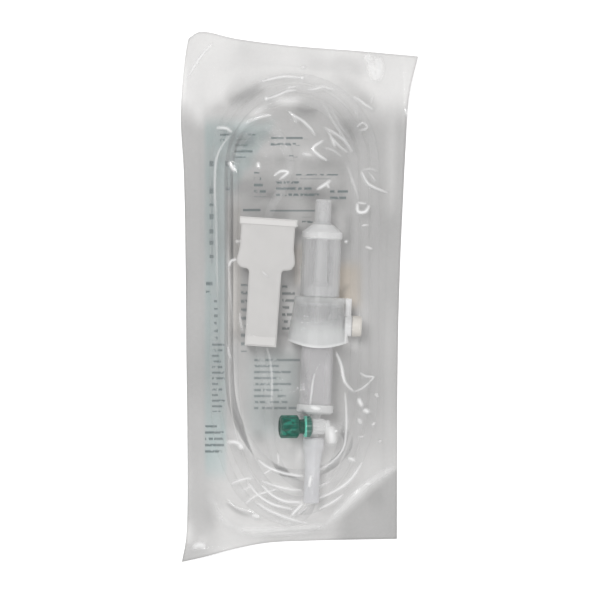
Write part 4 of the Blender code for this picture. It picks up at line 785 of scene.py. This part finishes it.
def make_film(material):
    """The clear front film: taut over the contents, swaying where it is free, and folded."""
    across = sealed_shares(FILM_POINTS[0], LEFT_SEAL, RIGHT_SEAL, WAIST)
    places = pouch_grid(across, sealed_shares(FILM_POINTS[1], FOOT_SEAL, HEADER_SEAL, POUCH_LENGTH))
    tops = tops_under(places)
    under = np.where(tops > 0, tops + FILM_CLEAR, FILM_LIES)
    heights = film_heights(under)
    around = heights.copy()
    around[1:-1, 1:-1] = neighbours_mean(heights)
    ridge = np.clip((heights - around) / RIDGE_BEND, 0, 1)
    ridge[1:-1, 1:-1] = neighbours_mean(ridge)
    free = np.clip((heights - under) / SWAYS_FROM, 0, 1)
    slow = waves(places, 11, 26 * MM) * 0.35 * MM
    fine = waves(places, 12, 7 * MM, stretch=(1, 2)) * 0.08 * MM
    # The folds' heights, their painted glints and their painted shade.
    extra, white, painted_shade = folded(places)
    # A painted highlight along the ridges, strongest over the tube's upper and lower ends.
    ends = 0.2 + 0.8 * smooth_step(np.abs(places[..., 1]), 55 * MM, 80 * MM)
    light = RIDGE_PAINTED_HIGHLIGHT * ends * ridge * np.clip(0.6 + 0.5 * waves(places, 21, 30 * MM), 0.1, 1)
    touching = (tops > 0) * (1 - smooth_step(heights - under, 0, 0.3 * MM))
    tones = {"painted_glint": np.maximum(white, light) - TOUCHING_CLEARER * touching, "shade": painted_shade}
    heights = heights + extra + free * (slow + fine) + curl(places)
    film = make_sheet("film", places, heights, tones, material)
    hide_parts("front_film")


def make_web(material):
    """The printed back web, flat on the table but for its free edges."""
    places = pouch_grid(*(np.linspace(0, 1, count) for count in WEB_POINTS))
    heights = WEB_THICKNESS + curl(places)
    web = make_sheet("web", places, heights, {"tone": paper_tone(places)}, material)
    solid = web.modifiers.new("thickness", "SOLIDIFY")
    solid.thickness = WEB_THICKNESS
    solid.offset = -1
    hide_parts("back_web")


def patch(x, y, left, right, top, foot, side, end):
    """1 between these pixels, with sides and ends that soften over this many millimetres."""
    return x.within(px(left), px(right), side * MM) * y.within(py(foot), py(top), end * MM)


def printed_marks(finish, place, x, y):
    """1 where the web is printed: rows of plain bars, two upright rows, a rail and a rule."""
    def rows(left, right, top, foot, pitch, grain):
        line = y / (pitch * PHOTO_SCALE)
        count = line.math("FLOOR")
        drawn = finish.noise(finish.joined(count * 7.3, left, 0.0), 1.0, 1.0)
        length = drawn.rises(0.35, 0.6) * 0.55 + 0.45
        across = (x - px(left)) / (px(right) - px(left))
        field = across.rises(-0.02, 0.02) * (1 - (across - length).rises(-0.02, 0.02))
        field = field * y.within(py(foot), py(top), 0.3 * MM)
        stroke = line.math("FRACT").within(0.3, 0.68, 0.14)
        grid = finish.stretched(place, (grain, 1 / (pitch * PHOTO_SCALE), 0))
        return field * stroke * finish.noise(grid, 1.0, 1.0).rises(0.35, 0.45)

    def upright(left, top, foot):
        broken = finish.noise(finish.stretched(place, (0, 260, 0)), 1.0, 1.0).rises(0.5, 0.57)
        return patch(x, y, left, left + 4, top, foot, 0.35, 0.5) * broken

    rail = patch(x, y, 211.2, 212.8, 180, 264, 0.3, 1.0) * 0.45
    rule = patch(x, y, 270, 315, 209.8, 211.6, 0.5, 0.25) * 0.8
    fields = [rows(*field) for field in PRINT]
    return largest(fields + [upright(*row) for row in UPRIGHTS] + [rail, rule])


def web_finish():
    """The pouch's back web: paper with pale green-grey fields and plain bars where it is printed."""
    finish = Finish("printed_web", Roughness=0.6)
    place, x, y, z = finish.axes()
    cloud = finish.noise(place, 90.0, 3.0)
    worn = cloud.rises(0.25, 0.7) * 0.35 + 0.65
    strip = patch(x, y, 205, 226, 122, 474, 1.4, 5.0)
    slanted = x - (y - py(160)) * 0.6 + (cloud - 0.5) * 0.02
    block = x.rises(px(202), px(208)) * (1 - slanted.rises(px(243), px(258)))
    block = block * y.within(py(196), py(122), 4.0 * MM)
    low_block = patch(x, y, 250, 298, 352, 436, 4.0, 4.0) * 0.5
    paper = finish.blend(largest([strip, block, low_block]) * worn, PAPER, PAPER_GREEN)
    right, middle, left = (patch(x, y, *edges) * warmth for *edges, warmth in WARM_PATCHES)
    paper = finish.blend(right + middle + left, paper, PAPER_WARM)
    mottle = finish.noise(place, 700.0, 2.0, 0.6).rises(0.3, 0.7)
    paper = finish.blend(finish.kept("tone") + mottle * 0.02, BLACK, paper)
    bold = y.rises(py(290), py(215)).math("MAXIMUM", 1 - x.rises(px(226), px(232))) * 0.22 + 0.66
    marks = printed_marks(finish, place, x, y)
    finish.set("Base Color", finish.blend(marks * bold, paper, INK))
    finish.bump(finish.noise(place, 1400.0, 2.0), 0.25, 0.1 * MM)
    return finish.material


def film_finish():
    """Clear film: a faint veil over what it covers, painted glints and painted shade at its folds, and
    whiter where it turns away.
    """
    finish = Finish("clear_film", IOR=1.5, Specular_IOR_Level=0.6, Coat_Roughness=0.05)
    painted_glint, shade = finish.kept("painted_glint"), finish.kept("shade")
    place, x, y, z = finish.axes()
    # The painted glints turn the veil white and the painted shade turns it grey, and both make the film
    # hide more.
    veil = finish.blend(painted_glint.rises(0.0, 0.35), VEIL, PAINTED_GLINT_WHITE)
    finish.set("Base Color", finish.blend(shade.rises(0.02, 0.2), veil, PAINTED_SHADE_GREY))
    sealed = 1 - z.rises(0.6 * MM, 2.2 * MM)
    finish.set("Roughness", sealed * 0.38 + 0.12)
    finish.set("Coat Weight", 0.8 - sealed * 0.8)
    cover = painted_glint * 0.85 + shade * 0.7 + finish.turned_away(0.3) * 0.12 + sealed * 0.05 + FILM_VEIL
    finish.see_through(cover.clamp())
    fine = finish.noise(finish.stretched(place, (1.0, 0.6, 1.0)), 260.0, 3.0, 0.6, 0.8)
    finish.bump(fine, 0.3, 0.4 * MM)
    return finish.material


def along_axis(x, y, at, lean):
    """Coordinates across and along a moulding that lies turned from +Y."""
    turn = math.radians(lean)
    from_x, from_y = x - at[0], y - at[1]
    across = from_x * math.cos(turn) + from_y * math.sin(turn)
    along = from_y * math.cos(turn) - from_x * math.sin(turn)
    return across, along


def plastic_finish(name, colour, roughness, light=None, painted_shade=None, cover=None, shine=0.5):
    """A moulded plastic: slight clouds in its colour, a fine skin, and how much it hides if clear.

    light, the painted shade and cover are given the finish and its coordinates, and answer with shares;
    light lightens the colour and the painted shade darkens it.
    """
    finish = Finish(name, IOR=1.5, Specular_IOR_Level=shine)
    place, x, y, z = finish.axes()
    cloud = finish.noise(place, 120.0, 3.0)
    tone = finish.blend(cloud.rises(0.3, 0.7), tuple(0.95 * part for part in colour), colour)
    if light:
        lighter = tuple(min(0.9, 1.28 * part) for part in colour)
        tone = finish.blend(light(finish, x, y, z), tone, lighter)
    # Painted shade: the colour darkened where the share says.
    if painted_shade:
        tone = finish.blend(painted_shade(finish, x, y, z), tone, tuple(0.2 * part for part in colour))
    finish.set("Base Color", tone)
    finish.set("Roughness", cloud.rises(0.2, 0.8) * 0.12 + (roughness - 0.06))
    finish.bump(finish.noise(place, SKIN_GRAIN, 2.0), SKIN_BUMP, 0.1 * MM)
    if cover:
        finish.see_through(cover(finish, x, y, z).clamp())
    return finish.material


def clear_finish(name, colour, low, high, roughness=0.12, shine=0.5):
    """Clear plastic that hides low of what is behind it face on, and high more at its outline."""
    def cover(finish, x, y, z):
        return finish.turned_away() * high + low

    return plastic_finish(name, colour, roughness, cover=cover, shine=shine)


def cap_finish():
    """The spike's cap: a see-through skirt below a milky collar, and a lighter tip."""
    def milky(finish, x, y, z):
        along = along_axis(x, y, STACK_AT, STACK_LEAN)[1]
        return along.within(*CAP_COLLAR, 0.5 * MM) + along.rises(*CAP_TIP) * 0.4

    def cover(finish, x, y, z):
        return finish.turned_away() * 0.4 + milky(finish, x, y, z) * 0.3 + 0.24

    return plastic_finish("cap_plastic", (0.86, 0.86, 0.865), 0.35, light=milky, cover=cover)


def guard_finish():
    """The vented spike: clearer at its middle, and milky at its shoulder, bowed rim and side vent, with
    a painted highlight along the rim.
    """
    def rim(finish, x, y, z):
        across, along = along_axis(x, y, STACK_AT, STACK_LEAN)
        bow = across * across * (RIM_BOW / GUARD_HALF ** 2)
        vent = across.rises(*VENT) * 0.9
        # The rim's milky plastic with its painted highlight, and the milky side vent.
        return ((1 - (along - bow).rises(*GUARD_RIM)) * 0.5).math("MAXIMUM", vent)

    def cover(finish, x, y, z):
        along = along_axis(x, y, STACK_AT, STACK_LEAN)[1]
        milky = (1 - along.rises(*GUARD_FOOT)) * 0.3 + along.rises(*GUARD_SHOULDER) * 0.22
        return finish.turned_away() * 0.35 + milky + rim(finish, x, y, z) * 0.4 + 0.18

    return plastic_finish("guard_plastic", (0.86, 0.87, 0.87), 0.35, light=rim, cover=cover)


def clamp_finish():
    """The clamp's white plastic, with painted light on the raised lips at its two ends."""
    def painted_light_on_lips(finish, x, y, z):
        along = along_axis(x, y, CLAMP_AT, CLAMP_LEAN)[1]
        return along.rises(*CLAMP_HEAD_LIP) * 0.55 + (1 - along.rises(*CLAMP_FOOT_LIP)) * 0.35

    return plastic_finish("clamp_plastic", (0.57, 0.56, 0.55), 0.42, light=painted_light_on_lips)


def green_cap_finish():
    """The green cap, which lies along X: painted shade in the grooves between its grips, in random blots
    and at its ends.
    """
    def painted_shade_in_grooves(finish, x, y, z):
        # Painted shade: dark flutes between the grips, random dark blots and darker ends.
        turn = (z - GREEN_CAP_Z).math("ARCTAN2", y - GREEN_CAP_Y)
        flutes = (turn * GREEN_CAP_GRIPS).math("SINE").rises(-0.2, 0.8) * 0.6
        shade_blots = finish.noise(finish.joined(x, y, z), 420.0, 2.0, 0.6).rises(0.44, 0.56) * 0.8
        ends = (1 - x.rises(px(279.5), px(282.5))) + x.rises(px(294), px(297)) * 0.7
        return largest([flutes, shade_blots, ends])

    return plastic_finish("dark_green_plastic", (0.008, 0.205, 0.14), 0.4, painted_shade=painted_shade_in_grooves, shine=0.1)


def ring_finish():
    """The light green collar, in shadow on the connector's side."""
    def shaded(finish, x, y, z):
        return x.rises(px(306.4), px(307.4))

    return plastic_finish("green_plastic", (0.12, 0.60, 0.45), 0.3, painted_shade=shaded)


def dress_node(name, material):
    """Gives a CAD piece its finish, smooth but for its real edges."""
    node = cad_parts[name]
    node.data.materials.clear()
    node.data.materials.append(material)
    node.data.shade_smooth()
    node.data.set_sharp_from_angle(angle=math.radians(35))


def lay_floor():
    """A plain pale floor, which the camera sees as white but for the object's shadow."""
    bpy.ops.object.select_all(action="DESELECT")
    bpy.ops.mesh.primitive_plane_add(size=FLOOR_SIZE, location=(0, 0, -FLOOR_DROP))
    floor = bpy.context.object
    floor.name = "floor"
    finish = Finish("floor", Roughness=0.9, Base_Color=(*FLOOR_GREY, 1.0), Emission_Strength=1.0)
    finish.set("Emission Color", finish.blend(finish.shows_background(), BLACK, FLOOR_GLOW))
    floor.data.materials.append(finish.material)


def light_room():
    """An even white room and two soft lamps."""
    world = bpy.data.worlds.new("studio")
    bpy.context.scene.world = world
    world.use_nodes = True
    room = Nodes(world.node_tree)
    inputs = {"Value": room.shows_background(), "To Min": ROOM_LIGHT, "To Max": 1.0}
    back = room.tree.nodes["Background"]
    room.feed(back.inputs["Color"], (1.0, 1.0, 1.0, 1.0))
    room.feed(back.inputs["Strength"], room.node("ShaderNodeMapRange", None, inputs))
    for name, place, size, power in LAMPS:
        lamp = bpy.data.lights.new(name, "AREA")
        lamp.size = size
        lamp.energy = power
        holder = bpy.data.objects.new(name, lamp)
        holder.location = place
        holder.rotation_euler = (-Vector(place)).to_track_quat("-Z", "Y").to_euler()
        bpy.context.scene.collection.objects.link(holder)


def place_camera():
    """A camera straight above, which frames the pouch as the photograph does."""
    lens = bpy.data.cameras.new("camera")
    lens.sensor_width = SENSOR_WIDTH
    lens.lens = SENSOR_WIDTH * CAMERA_HEIGHT / (PHOTO_SIDE * PHOTO_SCALE)
    camera = bpy.data.objects.new("camera", lens)
    camera.location = (px(PHOTO_SIDE / 2), py(PHOTO_SIDE / 2), CAMERA_HEIGHT)
    bpy.context.scene.collection.objects.link(camera)
    bpy.context.scene.camera = camera
    bpy.context.scene.view_settings.view_transform = "Standard"


def main():
    lay_floor()
    light_room()
    place_camera()
    lay_tube(clear_finish("clear_tube", (0.88, 0.88, 0.885), 0.05, 0.04))
    make_web(web_finish())
    make_film(film_finish())
    hub = clear_finish("hub_plastic", (0.90, 0.90, 0.90), 0.55, 0.3, 0.35, 0.3)
    white = plastic_finish("white_plastic", (0.70, 0.69, 0.68), 0.42)
    membrane = plastic_finish("filter_membrane", (0.80, 0.80, 0.79), 0.8)
    finishes = {
        "spike_cap": cap_finish(),
        "vented_spike": guard_finish(),
        "vent_cap": plastic_finish("cream_plastic", (0.69, 0.66, 0.615), 0.45),
        "vent_filter": membrane,
        "fluid_filter": membrane,
        "drip_tube": white,
        "drip_chamber": clear_finish("clear_plastic", (0.86, 0.85, 0.86), 0.26, 0.25),
        "chamber_base": hub,
        "outlet_sleeve": clear_finish("sleeve_plastic", (0.90, 0.90, 0.92), 0.5, 0.2, 0.4, 0.3),
        "clamp_housing": clamp_finish(),
        "roller_wheel": white,
        "cone_connector": hub,
        "locking_collar": ring_finish(),
        "end_cap": green_cap_finish(),
    }
    for name, material in finishes.items():
        dress_node(name, material)


main()
